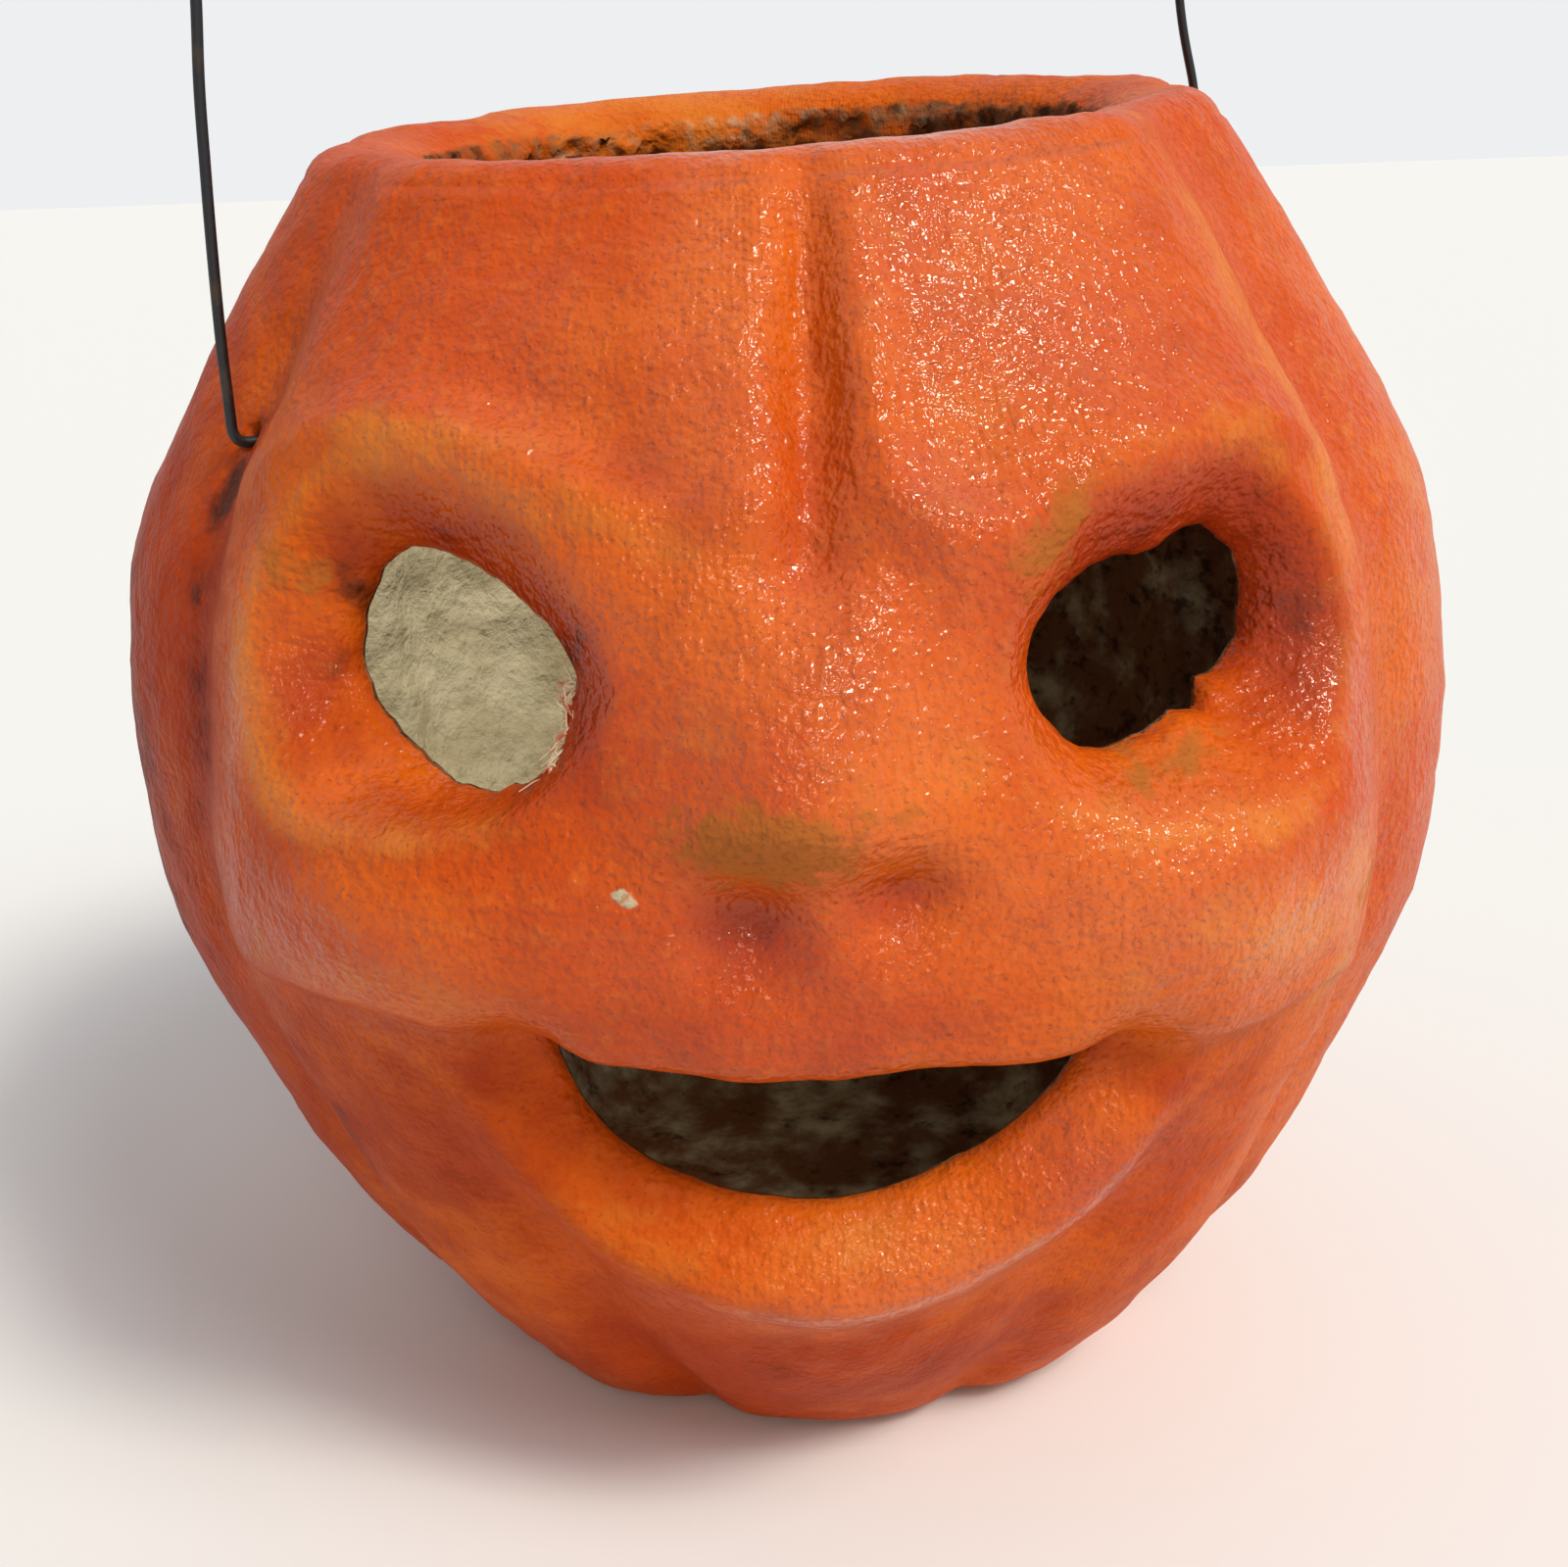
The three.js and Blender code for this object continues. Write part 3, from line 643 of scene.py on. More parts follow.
bmesh.ops.recalc_face_normals(blank, faces=blank.faces)

# Pulp shell: hand of the maker. Pressing leaves low dents and lumps, the raw inner side is rough, and
# the lip's edge is torn. The form stays calm beside the cut edges.
lump_height, lump_size = 0.34, 11.0
dent_height, dent_size = 0.12, 3.2
raw_height, raw_size = 0.9, 5.5
torn_height, torn_size = 1.7, 2.6
raw_flattening = 0.4
calm_start, calm_blend, calm_margin = 1.0, 4.0, 6.0
lip_over = 100.0
torn_reach = 3.0
torn_start, torn_blend = 2.0, 2.0
blank.normal_update()
all_places = unrolled(blank.verts)
from_edge = np.full(len(all_places), 99.0)
for loop, _, _ in openings:
    low, high = loop.min(0) - calm_margin, loop.max(0) + calm_margin
    near = ((all_places > low) & (all_places < high)).all(1)
    spacing = np.linalg.norm(all_places[near][:, None] - loop[None], axis=2).min(1)
    from_edge[near] = np.minimum(from_edge[near], spacing)
calm = smooth((from_edge - calm_start) / calm_blend)
moves = []
for v, calmness in zip(blank.verts, calm):
    p = v.co.copy()
    raw = v[depth_of] * calmness if v[zone_of] in (OUTSIDE, INSIDE) else 0.0
    torn = 0.0
    if v[zone_of] == RIM and p.z > lip_over and rows[v[row_of], 0] < lip_edge + torn_reach:
        torn = min(max((body_height - rows[v[row_of], 1] - torn_start) / torn_blend, 0.0), 1.0)
        raw = max(raw, torn)
    lump = lump_height * noise.fractal(p / lump_size, 1.0, 2.0, 3)
    lump += dent_height * noise.fractal(p / dent_size + Vector((7, 3, 1)), 1.0, 2.0, 2)
    rough = raw_height * noise.fractal(p / raw_size + Vector((31, 5, 9)), 0.9, 2.1, 4)
    moved = v.normal * (lump * (1 - raw_flattening * raw) + rough * raw)
    moved.z -= torn_height * torn * noise.fractal(p / torn_size + Vector((3, 11, 2)), 0.8, 2.2, 3)
    if v[zone_of] == FLAT and p.z < 1:
        moved.zero()
    moves.append(moved)
for v, moved in zip(blank.verts, moves):
    v.co += moved
    v.co.z = max(v.co.z, 0.0)
bmesh.ops.scale(blank, vec=(MM, MM, MM), verts=blank.verts)
shell_mesh = bpy.data.meshes.new("pulp_body")
blank.to_mesh(shell_mesh)
depth_values, zone_values, azimuth_values, up_values, row_values = (
    np.array([v[layer] for v in blank.verts]) for layer in (depth_of, zone_of, azimuth_of, up_of, row_of)
)
blank.free()
for name in ("row", "azimuth", "up", "depth", "zone"):
    shell_mesh.attributes.remove(shell_mesh.attributes[name])
shell = in_scene("pulp_body", shell_mesh)
shell_mesh.polygons.foreach_set("use_smooth", [True] * len(shell_mesh.polygons))

# Pulp shell: where the paint is thin, deep, glossy, worn or dirty, and where the pulp is bare or stained,
# kept on the mesh as shares from 0 to 1. The thin, deep, dirty and stained shares also hold painted light:
# painted highlight on crests and on the lit right side, and painted shade in hollows and creases, on the
# left side and inside the body.
across_values = np.radians(azimuth_values) * face_radius
inside_wall = (zone_values == INSIDE) | ((zone_values == OUTSIDE) & (depth_values > 0.5))
lip_rows = rows[row_values]
lip_drops = body_height - lip_rows[:, 1]
on_lip = (zone_values == RIM) & (lip_rows[:, 1] > lip_over) & (lip_rows[:, 0] < lip_edge + torn_reach)
inner_floor = (zone_values == FLAT) & (lip_rows[:, 1] > 1)


def patches(places):
    amount = np.zeros(len(across_values))
    for across, up, wide, tall, turned, strength in places:
        c, s = math.cos(math.radians(turned)), math.sin(math.radians(turned))
        dx, dy = across_values - across, up_values - up
        x, y = (dx * c + dy * s) / wide, (dy * c - dx * s) / tall
        amount = np.maximum(amount, strength * np.exp(-(x * x + y * y)))
    return amount


def socket_ring(eye, width, shares, inwards=0.0):
    dx, dy = across_values - eye["at"][0], up_values - eye["at"][1]
    angle = np.arctan2(dy, dx)
    crest = around_turn(eye["crest"], angle)
    opening = around_turn(eye["opening"], angle)
    away = np.hypot(dx, dy) - crest + inwards * (crest - opening)
    return np.clip(around_turn(shares, angle), 0, 1) * np.exp(-((away / width) ** 2))


# Across, up, half width, half height, turn in degrees, strength. The seam of the measure is at the back,
# across 188, so a patch that crosses it stands on both sides.
chip = (-11.7, 70.5)
back_rim_across = (-165, 212)
marks = {
    # Yellower paint: thin paint over the crests and worn paint on the back rim, and also painted highlight
    # on the brows, cheeks, lip crest, forehead edges, the right eye's lower crest and round each socket's
    # crest, and a painted sheen on the lit right temple and right side
    "thin_paint_and_painted_highlight": np.maximum.reduce([
        patches([
            (-30, 102.6, 14, 1.8, 2, 0.75), (-13, 98, 8, 2.0, -20, 0.7), (34, 99.5, 13, 1.8, 0, 0.7),
            (37, 62, 12, 5, -12, 0.85), (47, 53, 4, 6, 10, 0.9), (45, 62, 8, 6, -10, 0.85),
            (-33, 61, 16, 4, 2, 0.5), (0, 35.6, 20, 2.2, 0, 0.55), (-17, 37, 6, 3, -38, 0.6),
            (10, 79, 7, 5, 0, 0.6), (22, 73.5, 9, 1.8, -32, 0.7), (10, 112, 3, 12, 0, 0.35),
            (-6, 84, 6, 5, 0, 0.3), (18, 34, 5, 3, 30, 0.6), (22, 60, 8, 5, 0, 0.45),
            (16, 102, 6, 10, 0, 0.3), (51, 100, 6, 22, 0, 0.85), (72, 84, 14, 34, 0, 0.5),
            *((across, 122, 45, 12, 0, 0.8) for across in back_rim_across),
        ]),
        socket_ring(eyes[0], 2.0, [0.2, 0.4, 0.6, 0.6, 0.9, 0.9, 0.7, 0.3]),
        socket_ring(eyes[1], 2.0, [0.4, 0.4, 0.4, 0.3, 0.2, 0.5, 0.8, 0.6]),
    ]),
    # Redder, darker paint: paint pooled low on the body, and painted shade in the forehead furrow, the
    # nostrils, the mouth corners and creases, the valley under the left socket, over and under the left
    # brow, in the left groove, over the whole left side away from the light, and on the socket slopes turned
    # from the light, darkest on the right eye's right side
    "pooled_paint_and_painted_shade": np.maximum.reduce([
        patches([
            (-52, 40, 18, 24, 0, 0.8), (0, 14, 60, 12, 0, 0.75), (34, 38, 10, 14, 0, 0.5),
            (-34, 42, 12, 14, 0, 0.8), (3.4, 106, 2.0, 14, -4, 0.15), (-3.4, 67.4, 5.0, 3.6, -12, 0.95),
            (6.2, 69.4, 4.6, 2.6, 10, 0.72), (-58, 80, 7, 30, 0, 1.0), (29, 48, 7, 3.5, -20, 0.7),
            (-26, 51, 5, 4, 0, 0.7), (-34, 56, 14, 3, 0, 0.6), (-31, 73.5, 11, 2.6, 8, 0.7),
            (-40, 82, 5, 9, 10, 0.6), (-76, 62, 22, 54, 0, 1.1), (0, 59, 20, 3, 0, 0.4),
            (-9, 100, 12, 3, -20, 0.35), (41.6, 87.5, 3.6, 7.0, 8, 1.25), (37.5, 94.8, 6, 2.4, -30, 1.0),
            (-27, 96.5, 8, 2.2, -4, 1.0), (-15.2, 83, 2, 6, 12, 1.1),
        ]),
        socket_ring(eyes[0], 3.0, [0.9, 0.8, 0.8, 0.6, 0.1, 0, 0, 0.5], 0.7),
        socket_ring(eyes[1], 3.4, [1, 1, 1, 0.7, 0.1, 0, 0, 0.5], 0.6),
    ]),
    "glossy_paint": patches([
        (20, 112, 22, 18, 0, 1.0), (13, 98, 9, 9, 0, 1.0), (-5, 110, 9, 24, 0, 1.0),
        (-20, 106, 16, 16, 0, 0.7), (3, 86, 19, 18, 0, 1.0), (24, 68, 18, 10, -20, 1.0),
        (34, 64, 14, 10, 0, 0.8), (0, 66, 24, 10, 0, 0.7), (8, 33, 20, 4.5, 12, 0.9),
        (22, 41, 5, 7, -30, 0.95), (-32, 64, 16, 8, 0, 0.6), (46, 80, 6, 12, 0, 0.7),
        (62, 88, 16, 44, 0, 0.45), (-44, 84, 4, 10, 0, 0.6), (-33, 76, 10, 4, 8, 0.6),
        (-14, 90, 12, 10, 0, 0.8), (0, 59, 24, 6, 0, 0.6),
    ]),
    "worn_paint": patches([
        (-1.8, 75.0, 7.4, 4.0, -4, 1.1), (6.5, 77.0, 5.0, 1.8, -6, 0.5), (20.3, 94.9, 6.0, 2.8, 40, 0.9),
        (-38, 100.5, 4, 1.6, 0, 0.5), (-42, 93.4, 6, 3, -30, 0.62), (12, 92, 2, 1.2, 0, 0.45),
        (-1, 121.8, 3.4, 0.9, -12, 0.5), (48, 52.5, 3, 4.5, 0, 0.55), (50, 60, 3.5, 5, 15, 0.6),
        (38, 57, 6, 1.4, -25, 0.5), (8, 55, 4, 1, 0, 0.5), (17, 31.5, 3, 1.3, 30, 0.5),
        (40, 99, 5, 1.2, 0, 0.45), (-30, 103, 6, 1, 0, 0.35), (30, 76.2, 9, 2.0, 12, 0.70),
        (27, 77, 4, 1.6, 0, 0.5),
    ]),
    # Dark brown: dirt beside the left eye and round the groove of the left wire hole, painted shade in the
    # right eye's socket and in the crease at the right mouth corner, and darker along the foot and at the
    # left eye's torn notch
    "grime_and_painted_shade": patches([
        (-37.5, 92, 3.6, 2.6, -20, 0.9), (-41.5, 93.6, 4, 2.2, -20, 0.62), (-58.5, 97, 2.6, 6, 0, 1.0),
        (-59, 88, 2.2, 7, 0, 0.75), (-39, 87, 1.6, 5, 0, 0.4), (38.5, 88, 4, 6, 0, 0.3),
        (-50, 117, 6, 6, 0, 0.3), (-58, 110, 3.4, 10, 0, 0.4), (33, 49.4, 5, 1.0, -16, 0.35),
        (0, 1, 400, 3, 0, 0.3), (-15.4, 84, 1.2, 4, 0, 0.5), (-15, 90, 1, 2, 0, 0.6),
    ]),
    "raw_pulp": np.where(
        on_lip,
        (0.62 - patches([(across, 122, 45, 20, 0, 0.2) for across in back_rim_across]))
        * smooth((lip_drops - 1.2) / 1.4),
        np.where(
            (zone_values == INSIDE) | inner_floor, 1.0,
            np.maximum(smooth((depth_values - 0.45) / 0.4), patches([(*chip, 1.15, 0.62, -30, 1.1)])),
        ),
    ),
    # Stained pulp: the lip's torn edge and the cut faces are stained. Inside, the whole wall is darkened as
    # painted shade, and is left paler as painted light on the back-left wall, where the light through the
    # top opening falls. It is also a little paler low at the back.
    "stained_pulp_and_painted_shade": np.where(
        inside_wall | inner_floor,
        np.clip(0.85 - patches([
            (-142, 66, 42, 44, 0, 0.85), (188, 20, 60, 26, 0, 0.35), (-188, 20, 60, 26, 0, 0.35),
        ]), 0, 1),
        np.where(
            on_lip, 1.0 - patches([(across, 122, 50, 20, 0, 0.28) for across in back_rim_across]),
            0.6 - patches([(*chip, 2, 2, 0, 0.1)]),
        ),
    ),
}
for name, values in marks.items():
    attribute = shell_mesh.attributes.new(name, "FLOAT", "POINT")
    attribute.data.foreach_set("value", values.astype(np.float32))

# The forming cloth lies along the wall: its pattern follows the arc round the body and the height on it
corner_verts = np.zeros(len(shell_mesh.loops), np.int32)
shell_mesh.loops.foreach_get("vertex_index", corner_verts)
starts, totals = (np.zeros(len(shell_mesh.polygons), np.int32) for _ in range(2))
shell_mesh.polygons.foreach_get("loop_start", starts)
shell_mesh.polygons.foreach_get("loop_total", totals)
polygon_of = np.repeat(np.arange(len(starts)), totals)
corner_azimuth = azimuth_values[corner_verts]
corner_azimuth += 360.0 * (np.maximum.reduceat(corner_azimuth, starts)[polygon_of] - corner_azimuth > 180)
section_run = np.concatenate([[0], np.cumsum(np.hypot(np.diff(rows[:, 0]), np.diff(rows[:, 1])))])
outside_rows = rows[:, 6] == OUTSIDE
wall_run = np.interp(up_values, rows[outside_rows, 1], section_run[outside_rows])
height_run = np.where(zone_values == OUTSIDE, wall_run, section_run[row_values])
cloth = shell_mesh.uv_layers.new(name="cloth")
cloth_places = np.stack([np.radians(corner_azimuth) * face_radius, height_run[corner_verts]], 1)
cloth.data.foreach_set("uv", cloth_places.astype(np.float32).ravel())


# Pulp shell: finish. Lacquer-painted moulded pulp: thin brushed orange lacquer that sinks into the grain
# of the pulp and the print of the cloth, so it shines in small broken sparks, is yellower where thin and
# redder where it pooled. The yellower coat also paints highlight, and the red and brown coats and the
# stained pulp also paint shade.
def from_hex(code):
    channels = [int(code[i:i + 2], 16) / 255 for i in (1, 3, 5)]
    return [c / 12.92 if c <= 0.04045 else ((c + 0.055) / 1.055) ** 2.4 for c in channels] + [1.0]


def set_inputs(tree, node, inputs):
    for name, value in inputs.items():
        if isinstance(value, bpy.types.Node):
            value = value.outputs[0]
        if isinstance(value, bpy.types.NodeSocket):
            tree.links.new(value, node.inputs[name])
        else:
            node.inputs[name].default_value = from_hex(value) if isinstance(value, str) else value


def add_node(tree, kind, settings=None, inputs=None):
    node = tree.nodes.new(kind)
    for name, value in (settings or {}).items():
        setattr(node, name, value)
    set_inputs(tree, node, inputs or {})
    return node


def maths(tree, operation, *values):
    return add_node(tree, "ShaderNodeMath", {"operation": operation}, dict(enumerate(values)))


def eased(tree, value, start, end, top=1.0):
    return add_node(tree, "ShaderNodeMapRange", {"interpolation_type": "SMOOTHSTEP"}, {
        "Value": value, "From Min": start, "From Max": end, "To Max": top,
    })


def spread(tree, value, low, high):
    return add_node(tree, "ShaderNodeMapRange", inputs={"Value": value, "To Min": low, "To Max": high})


def mixed(tree, share, low, high):
    return add_node(tree, "ShaderNodeMix", {"data_type": "RGBA"}, {0: share, 6: low, 7: high}).outputs[2]


def new_finish(name):
    finish = bpy.data.materials.new(name)
    finish.use_nodes = True
    return finish, finish.node_tree, finish.node_tree.nodes["Principled BSDF"]


lacquer, tree, surface = new_finish("lacquer_painted_moulded_pulp")
on_object = add_node(tree, "ShaderNodeTexCoord").outputs["Object"]
on_cloth = add_node(tree, "ShaderNodeUVMap", {"uv_map": "cloth"})
brushed = add_node(tree, "ShaderNodeMapping", inputs={"Vector": on_cloth, "Scale": (1 / 14.0, 1 / 1.8, 1.0)})
# Grain of the pulp and of the paint by size in millimetres, with the noise's detail and roughness
grains = {
    name: add_node(tree, "ShaderNodeTexNoise", inputs={
        "Vector": on_object, "Scale": 1000.0 / size, "Detail": detail, "Roughness": rough,
    }) for name, size, detail, rough in (
        ("broad", 26.0, 3.0, 0.5), ("patchy", 6.0, 5.0, 0.62), ("fine", 1.5, 2.0, 0.5),
        ("grit", 0.7, 1.0, 0.5), ("pores", 0.42, 2.0, 0.5), ("dents", 4.2, 2.0, 0.5),
        ("mottle", 9.0, 5.0, 0.6), ("fluff", 2.4, 5.0, 0.6),
    )
}
grains["brushed"] = add_node(tree, "ShaderNodeTexNoise", inputs={
    "Vector": brushed, "Scale": 1.0, "Detail": 4.0, "Roughness": 0.6,
})
marked = {
    name: add_node(tree, "ShaderNodeAttribute", {"attribute_name": name}).outputs["Fac"] for name in marks
}

# Coats from the base up: grain, mark, the mark's weight, the range over which the coat comes in, its
# strength and its colour
paint_coats = [
    ("broad", None, 0.0, 0.38, 0.64, 0.9, "#d4600f"),
    ("brushed", None, 0.0, 0.48, 0.8, 0.20, "#dc7424"),
    ("patchy", None, 0.0, 0.46, 0.70, 0.35, "#b8420f"),
    ("fine", None, 0.0, 0.52, 0.74, 0.32, "#de7024"),
    ("grit", None, 0.0, 0.52, 0.70, 0.26, "#a2380e"),
    # Pooled paint and painted shade
    ("patchy", "pooled_paint_and_painted_shade", 0.7, 0.45, 1.15, 0.9, "#a2330e"),
    # Thin paint and painted highlight
    ("patchy", "thin_paint_and_painted_highlight", 0.5, 0.58, 1.05, 0.7, "#da7e2a"),
    # Darkest pooled paint and painted shade
    ("patchy", "pooled_paint_and_painted_shade", 0.6, 0.98, 1.25, 0.85, "#6e2010"),
    ("pores", "glossy_paint", 0.06, 0.62, 0.74, 0.30, "#7a2a0e"),
    ("fluff", "worn_paint", 0.6, 0.72, 0.98, 0.85, "#a9632b"),
    ("grit", "worn_paint", 0.40, 0.90, 1.05, 0.25, "#6b3c1c"),
    # Grime and painted shade
    ("patchy", "grime_and_painted_shade", 0.6, 0.74, 1.08, 0.85, "#321a0e"),
]
pulp_coats = [
    ("mottle", None, 0.0, 0.35, 0.65, 1.0, "#b7a886"),
    ("fluff", None, 0.0, 0.55, 0.78, 0.35, "#746850"),
    # Stains, and painted shade inside the body
    ("mottle", "stained_pulp_and_painted_shade", 0.6, 0.72, 1.02, 0.95, "#7c4a2c"),
    ("fluff", "stained_pulp_and_painted_shade", 0.4, 0.82, 1.0, 0.75, "#2a160c"),
]
shares = {}
finished = {}
for layer, base, coats in (("paint", "#c44a0c", paint_coats), ("pulp", "#d2c4a2", pulp_coats)):
    colour = base
    for grain, mark, weight, low, high, strength, tint in coats:
        reach = grains[grain].outputs[0]
        if mark:
            reach = maths(tree, "MULTIPLY_ADD", marked[mark], weight, reach)
        shares[grain, mark] = eased(tree, reach, low, high, strength)
        colour = mixed(tree, shares[grain, mark], colour, tint)
    finished[layer] = colour
bare_reach = maths(tree, "MULTIPLY_ADD", grains["fine"], 0.5, marked["raw_pulp"])
bare = eased(tree, bare_reach, 0.62, 0.92)
skin = mixed(tree, bare, finished["paint"], finished["pulp"])

# Dull where the paint is worn to the pulp and where the pulp is bare
gloss = spread(tree, grains["patchy"], 0.38, 0.56)
dull = maths(tree, "MAXIMUM", bare, shares["fluff", "worn_paint"])
roughness = add_node(tree, "ShaderNodeMix", {"data_type": "FLOAT"}, {0: dull, 2: gloss, 3: 0.92})
shine = spread(tree, marked["glossy_paint"], 0.06, 1.0)
coat = spread(tree, dull, shine, 0.0)

# The cloth's threads lie 0.7 mm apart round the body and 0.88 mm apart up it
thread_places = add_node(tree, "ShaderNodeSeparateXYZ", inputs={"Vector": on_cloth})
wavy = maths(tree, "MULTIPLY", grains["patchy"], 9.0)
weave = 0.0
for axis, pitch in ((0, 0.70), (1, 0.88)):
    phase = maths(tree, "MULTIPLY_ADD", thread_places.outputs[axis], math.tau / pitch, wavy)
    weave = maths(tree, "ADD", maths(tree, "SINE", phase), weave)
# Relief in millimetres: the cloth's print where it took, grit, dents, and pits that trapped air left
printed = eased(tree, grains["broad"], 0.42, 0.64, 0.012)
relief = maths(tree, "MULTIPLY", weave, printed)
for grain, height in (
    (grains["grit"], 0.27), (grains["fine"], 0.30), (grains["dents"], 0.45),
    (shares["pores", "glossy_paint"], -0.12),
):
    relief = maths(tree, "MULTIPLY_ADD", grain, height, relief)
relief = add_node(tree, "ShaderNodeMix", {"data_type": "FLOAT"}, {0: bare, 2: relief, 3: grains["fluff"]})
bump = add_node(tree, "ShaderNodeBump", inputs={"Strength": 1.0, "Distance": MM, "Height": relief})
set_inputs(tree, surface, {
    "Base Color": skin, "Roughness": roughness, "IOR": 1.45, "Specular IOR Level": 0.05, "Normal": bump,
    "Coat Weight": coat, "Coat Roughness": 0.08, "Coat IOR": 1.5, "Coat Normal": bump,
})
shell_mesh.materials.append(lacquer)

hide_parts("pulp_shell")
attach(shell, "lantern")

# Torn fibres. Where the die dragged, beside the nose, the left eye's edge frayed into a tuft of paper
# fibres, some still painted and some bare. They are part of the wall.
fibre_count = 40
fibre_points = 7
fibre_root = 0.6
fibre_sink = 0.2


def round_strands(name, radius, fineness):
    strands = bpy.data.curves.new(name, "CURVE")
    strands.dimensions = "3D"
    strands.bevel_depth = radius * MM
    strands.bevel_resolution = fineness
    strands.use_fill_caps = True
    return strands


wall_fibres = round_strands("torn_fibres", 0.09, 1)
chance = np.random.RandomState(11)
for _ in range(fibre_count):
    angle = math.radians(chance.uniform(-38, 6))
    length = chance.uniform(0.5, 2.2)
    curl = chance.uniform(-2.8, 2.8)
    lift = chance.uniform(0.0, 1.2)
    share = np.linspace(0, 1, fibre_points)
    edge_radius = around_turn(eyes[0]["opening"], np.full(fibre_points, angle))
    radius = edge_radius + fibre_root - length * share
    drift = curl * share**2 + chance.uniform(-0.12, 0.12, fibre_points)
    across = eyes[0]["at"][0] + radius * math.cos(angle) - drift * math.sin(angle)
    up = eyes[0]["at"][1] + radius * math.sin(angle) + drift * math.cos(angle)
    nx, nz = outline_normal(up)
    azimuth = np.degrees(across / face_radius)
    out = wall_height(azimuth, up) - fibre_sink + lift * share
    places = body_point(azimuth, outline_radius(up) + out * nx, up + out * nz)
    strand = wall_fibres.splines.new("POLY")
    strand.points.add(fibre_points - 1)
    for point, place, thin in zip(strand.points, places, share):
        point.co = (*(place * MM), 1)
        point.radius = 1 - 0.5 * thin
torn_fibres = in_scene("torn_fibres", wall_fibres)

# Frayed paper, part painted: dull, red-orange to cream
frayed, tree, surface = new_finish("frayed_paper_fibre")
on_object = add_node(tree, "ShaderNodeTexCoord").outputs["Object"]
# Painted and bare stretches of about 1.5 mm
painted = add_node(tree, "ShaderNodeTexNoise", inputs={"Vector": on_object, "Scale": 1000.0 / 1.5})
painted_share = add_node(tree, "ShaderNodeMapRange", inputs={
    "Value": painted, "From Min": 0.46, "From Max": 0.62,
})
tone = mixed(tree, painted_share, "#e6cfae", "#cc5230")
set_inputs(tree, surface, {"Base Color": tone, "Roughness": 0.85})
wall_fibres.materials.append(frayed)

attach(torn_fibres, "lantern")

# Wire bail. Thin annealed iron wire, blackened by handling. Each end is hooked through a punched hole
# and bent up inside, so the bail swings in the holes and the lantern hangs from it.
leg_gap = 1.0
hook_length = 6.0
hook_gap = 2.4
wire_bend = 1.5
hoop = [
    [0, 10], [-0.4, 22], [-1.1, 33], [-3.4, 50], [-11, 68], [-27, 82], [-49, 89], [-73, 86.5], [-92, 77],
    [-104, 61], [-109.6, 45], [-112.2, 33], [-114.4, 25.6], [-115.4, 18], [-114.2, 9],
]
hoop_span = 113.2


def wall_reach(azimuth, height):
    up = height - rim_tip(azimuth) * (height / body_height) ** 2
    nx = outline_normal(up)[0]
    outside = outline_radius(up) + float(wall_height(np.array([azimuth]), np.array([up]))[0]) * nx
    return outside, outside - wall / nx


# How far out the legs stand, and how far in the hooks' tips, on both sides
left, right = (wall_reach(bail_turn + half, bail_height)[0] + leg_gap for half in (0, 180))
left_hook, right_hook = (
    wall_reach(bail_turn + half, bail_height + hook_length)[1] - hook_gap for half in (0, 180)
)
arch = [[left, wire_bend]]
arch += [[left + along * (left + right) / hoop_span, up] for along, up in hoop]
arch += [[-right, wire_bend]]
wire_places = np.vstack([
    [[left_hook, hook_length]],
    bend((left_hook, wire_bend), (left_hook, 0), (left_hook + wire_bend, 0), 6),
    bend((left - wire_bend, 0), (left, 0), (left, wire_bend), 6),
    curve_through(arch, 8)[1:-1],
    bend((-right, wire_bend), (-right, 0), (-right + wire_bend, 0), 6),
    bend((-right_hook - wire_bend, 0), (-right_hook, 0), (-right_hook, wire_bend), 6),
    [[-right_hook, hook_length]],
])
wire = round_strands("bail_wire", wire_radius, 3)
run = wire.splines.new("POLY")
run.points.add(len(wire_places) - 1)
hinge_a = math.radians(bail_turn)
for point, (along, up) in zip(run.points, wire_places):
    across = along * math.sin(hinge_a) + lean_across * bail_height / body_height
    point.co = (across * MM, -along * math.cos(hinge_a) * MM, (bail_height + up) * MM, 1)
bail = in_scene("bail_wire", wire)

# Blackened iron wire: dark, half dull, with a little brown rust
iron, tree, surface = new_finish("blackened_iron_wire")
on_object = add_node(tree, "ShaderNodeTexCoord").outputs["Object"]
# Rust blooms of about 2.5 mm and grit of 0.5 mm
bloom, grit = (
    add_node(tree, "ShaderNodeTexNoise", inputs={"Vector": on_object, "Scale": 1000.0 / size, "Detail": 4.0})
    for size in (2.5, 0.5)
)
rust = eased(tree, bloom, 0.56, 0.76, 0.8)
wire_bump = add_node(tree, "ShaderNodeBump", inputs={"Strength": 0.6, "Distance": 0.05 * MM, "Height": grit})
set_inputs(tree, surface, {
    "Base Color": mixed(tree, rust, "#3c3d40", "#40301f"), "Metallic": spread(tree, rust, 0.9, 0.2),
    "Roughness": spread(tree, grit, 0.32, 0.62), "Normal": wire_bump,
})
wire.materials.append(iron)

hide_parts("wire_bail")
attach(bail, "bail")

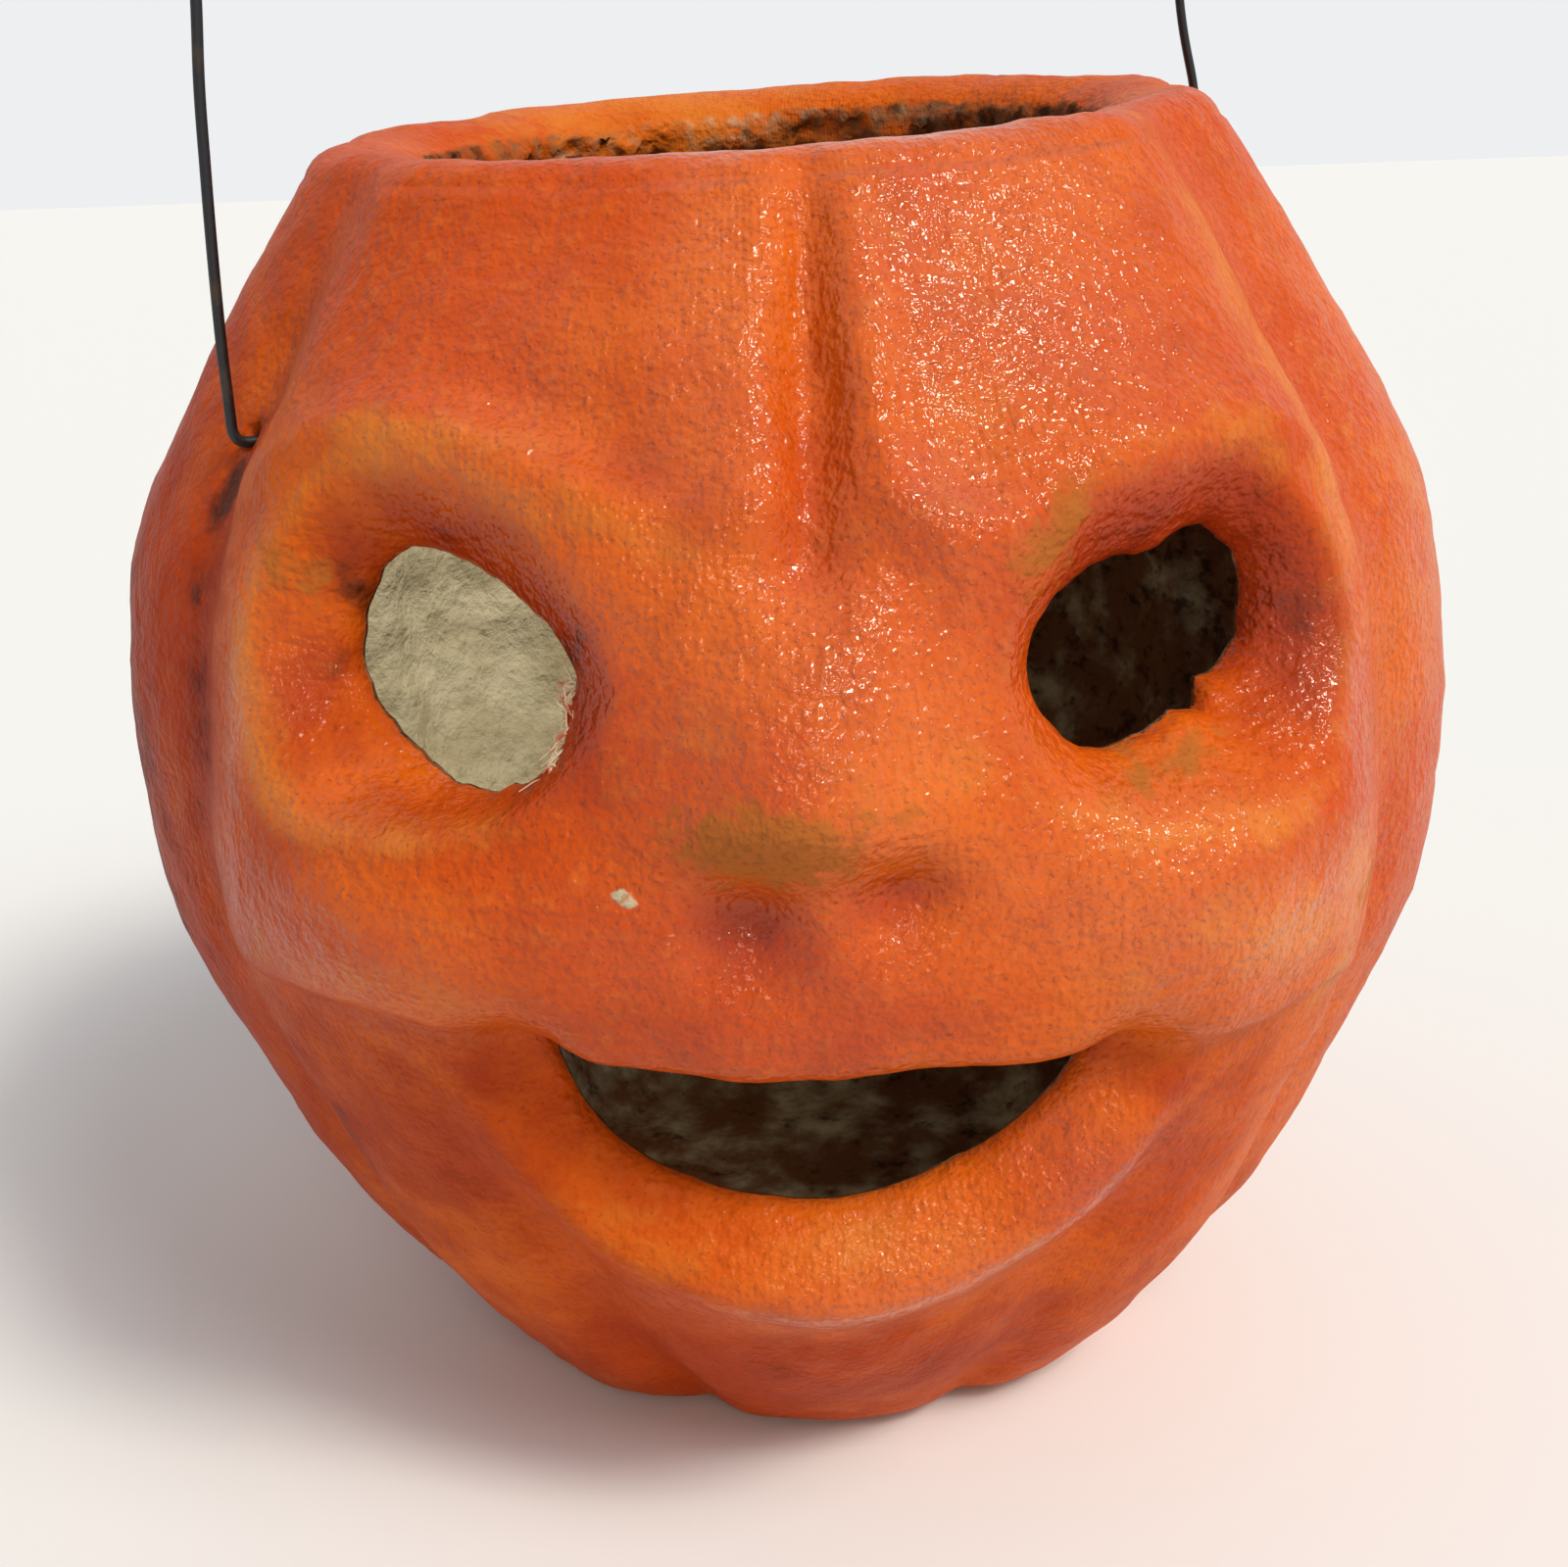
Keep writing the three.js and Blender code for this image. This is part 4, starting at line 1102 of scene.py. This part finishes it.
# Floor. A plain white table top that takes the lantern's shadow.
floor_mesh = bpy.data.meshes.new("floor")
floor_shape = bmesh.new()
bmesh.ops.create_grid(floor_shape, x_segments=1, y_segments=1, size=3.0)
floor_shape.to_mesh(floor_mesh)
floor_shape.free()
floor = in_scene("floor", floor_mesh)
# White laminate: even, dull and a little shiny where it is seen flat
table_top, tree, surface = new_finish("white_laminate")
set_inputs(tree, surface, {"Base Color": "#ebebec", "Roughness": 0.6, "Specular IOR Level": 0.2})
floor_mesh.materials.append(table_top)

# Light. A large window and a lamp to the upper right, a small lamp behind the camera, and white walls
# that are dimmer behind the camera.
for name, energy, wide, colour, source, gleams in (
    ("window", 1.38, 28.0, (1.0, 0.99, 0.98), (0.50, -0.44, 0.76), False),
    ("lamp", 1.37, 12.5, (1.0, 0.96, 0.80), (0.50, -0.44, 0.76), True),
    ("small_lamp", 0.42, 18.0, (1.0, 0.88, 0.64), (0.16, -0.84, 0.50), True),
):
    light_data = bpy.data.lights.new(name, "SUN")
    light_data.energy = energy
    light_data.angle = math.radians(wide)
    light_data.color = colour
    light = in_scene(name, light_data)
    light.matrix_world = Vector(source).to_track_quat("Z", "Y").to_matrix().to_4x4()
    light.visible_glossy = gleams
world = bpy.data.worlds.new("world")
bpy.context.scene.world = world
world.use_nodes = True
tree = world.node_tree
way = add_node(tree, "ShaderNodeTexCoord").outputs["Generated"]
way_parts = add_node(tree, "ShaderNodeSeparateXYZ", inputs={"Vector": way})
# How strongly the walls light the lantern, and how pale they look
lit, shown = (
    add_node(tree, "ShaderNodeMapRange", inputs={
        "Value": way_parts.outputs["Y"], "From Min": -1.0, "From Max": 0.2, "To Min": low, "To Max": high,
    }) for low, high in ((0.22, 0.50), (0.45, 0.90))
)
# Camera, mirrored and refracted rays all see the same pale walls
ray = add_node(tree, "ShaderNodeLightPath")
straight = ray.outputs["Is Camera Ray"]
for kind in ("Is Glossy Ray", "Is Transmission Ray"):
    straight = maths(tree, "MAXIMUM", straight, ray.outputs[kind])
set_inputs(tree, tree.nodes["Background"], {
    "Color": (0.95, 0.96, 0.98, 1), "Strength": spread(tree, straight, lit, shown),
})
bpy.context.scene.view_settings.view_transform = "Standard"
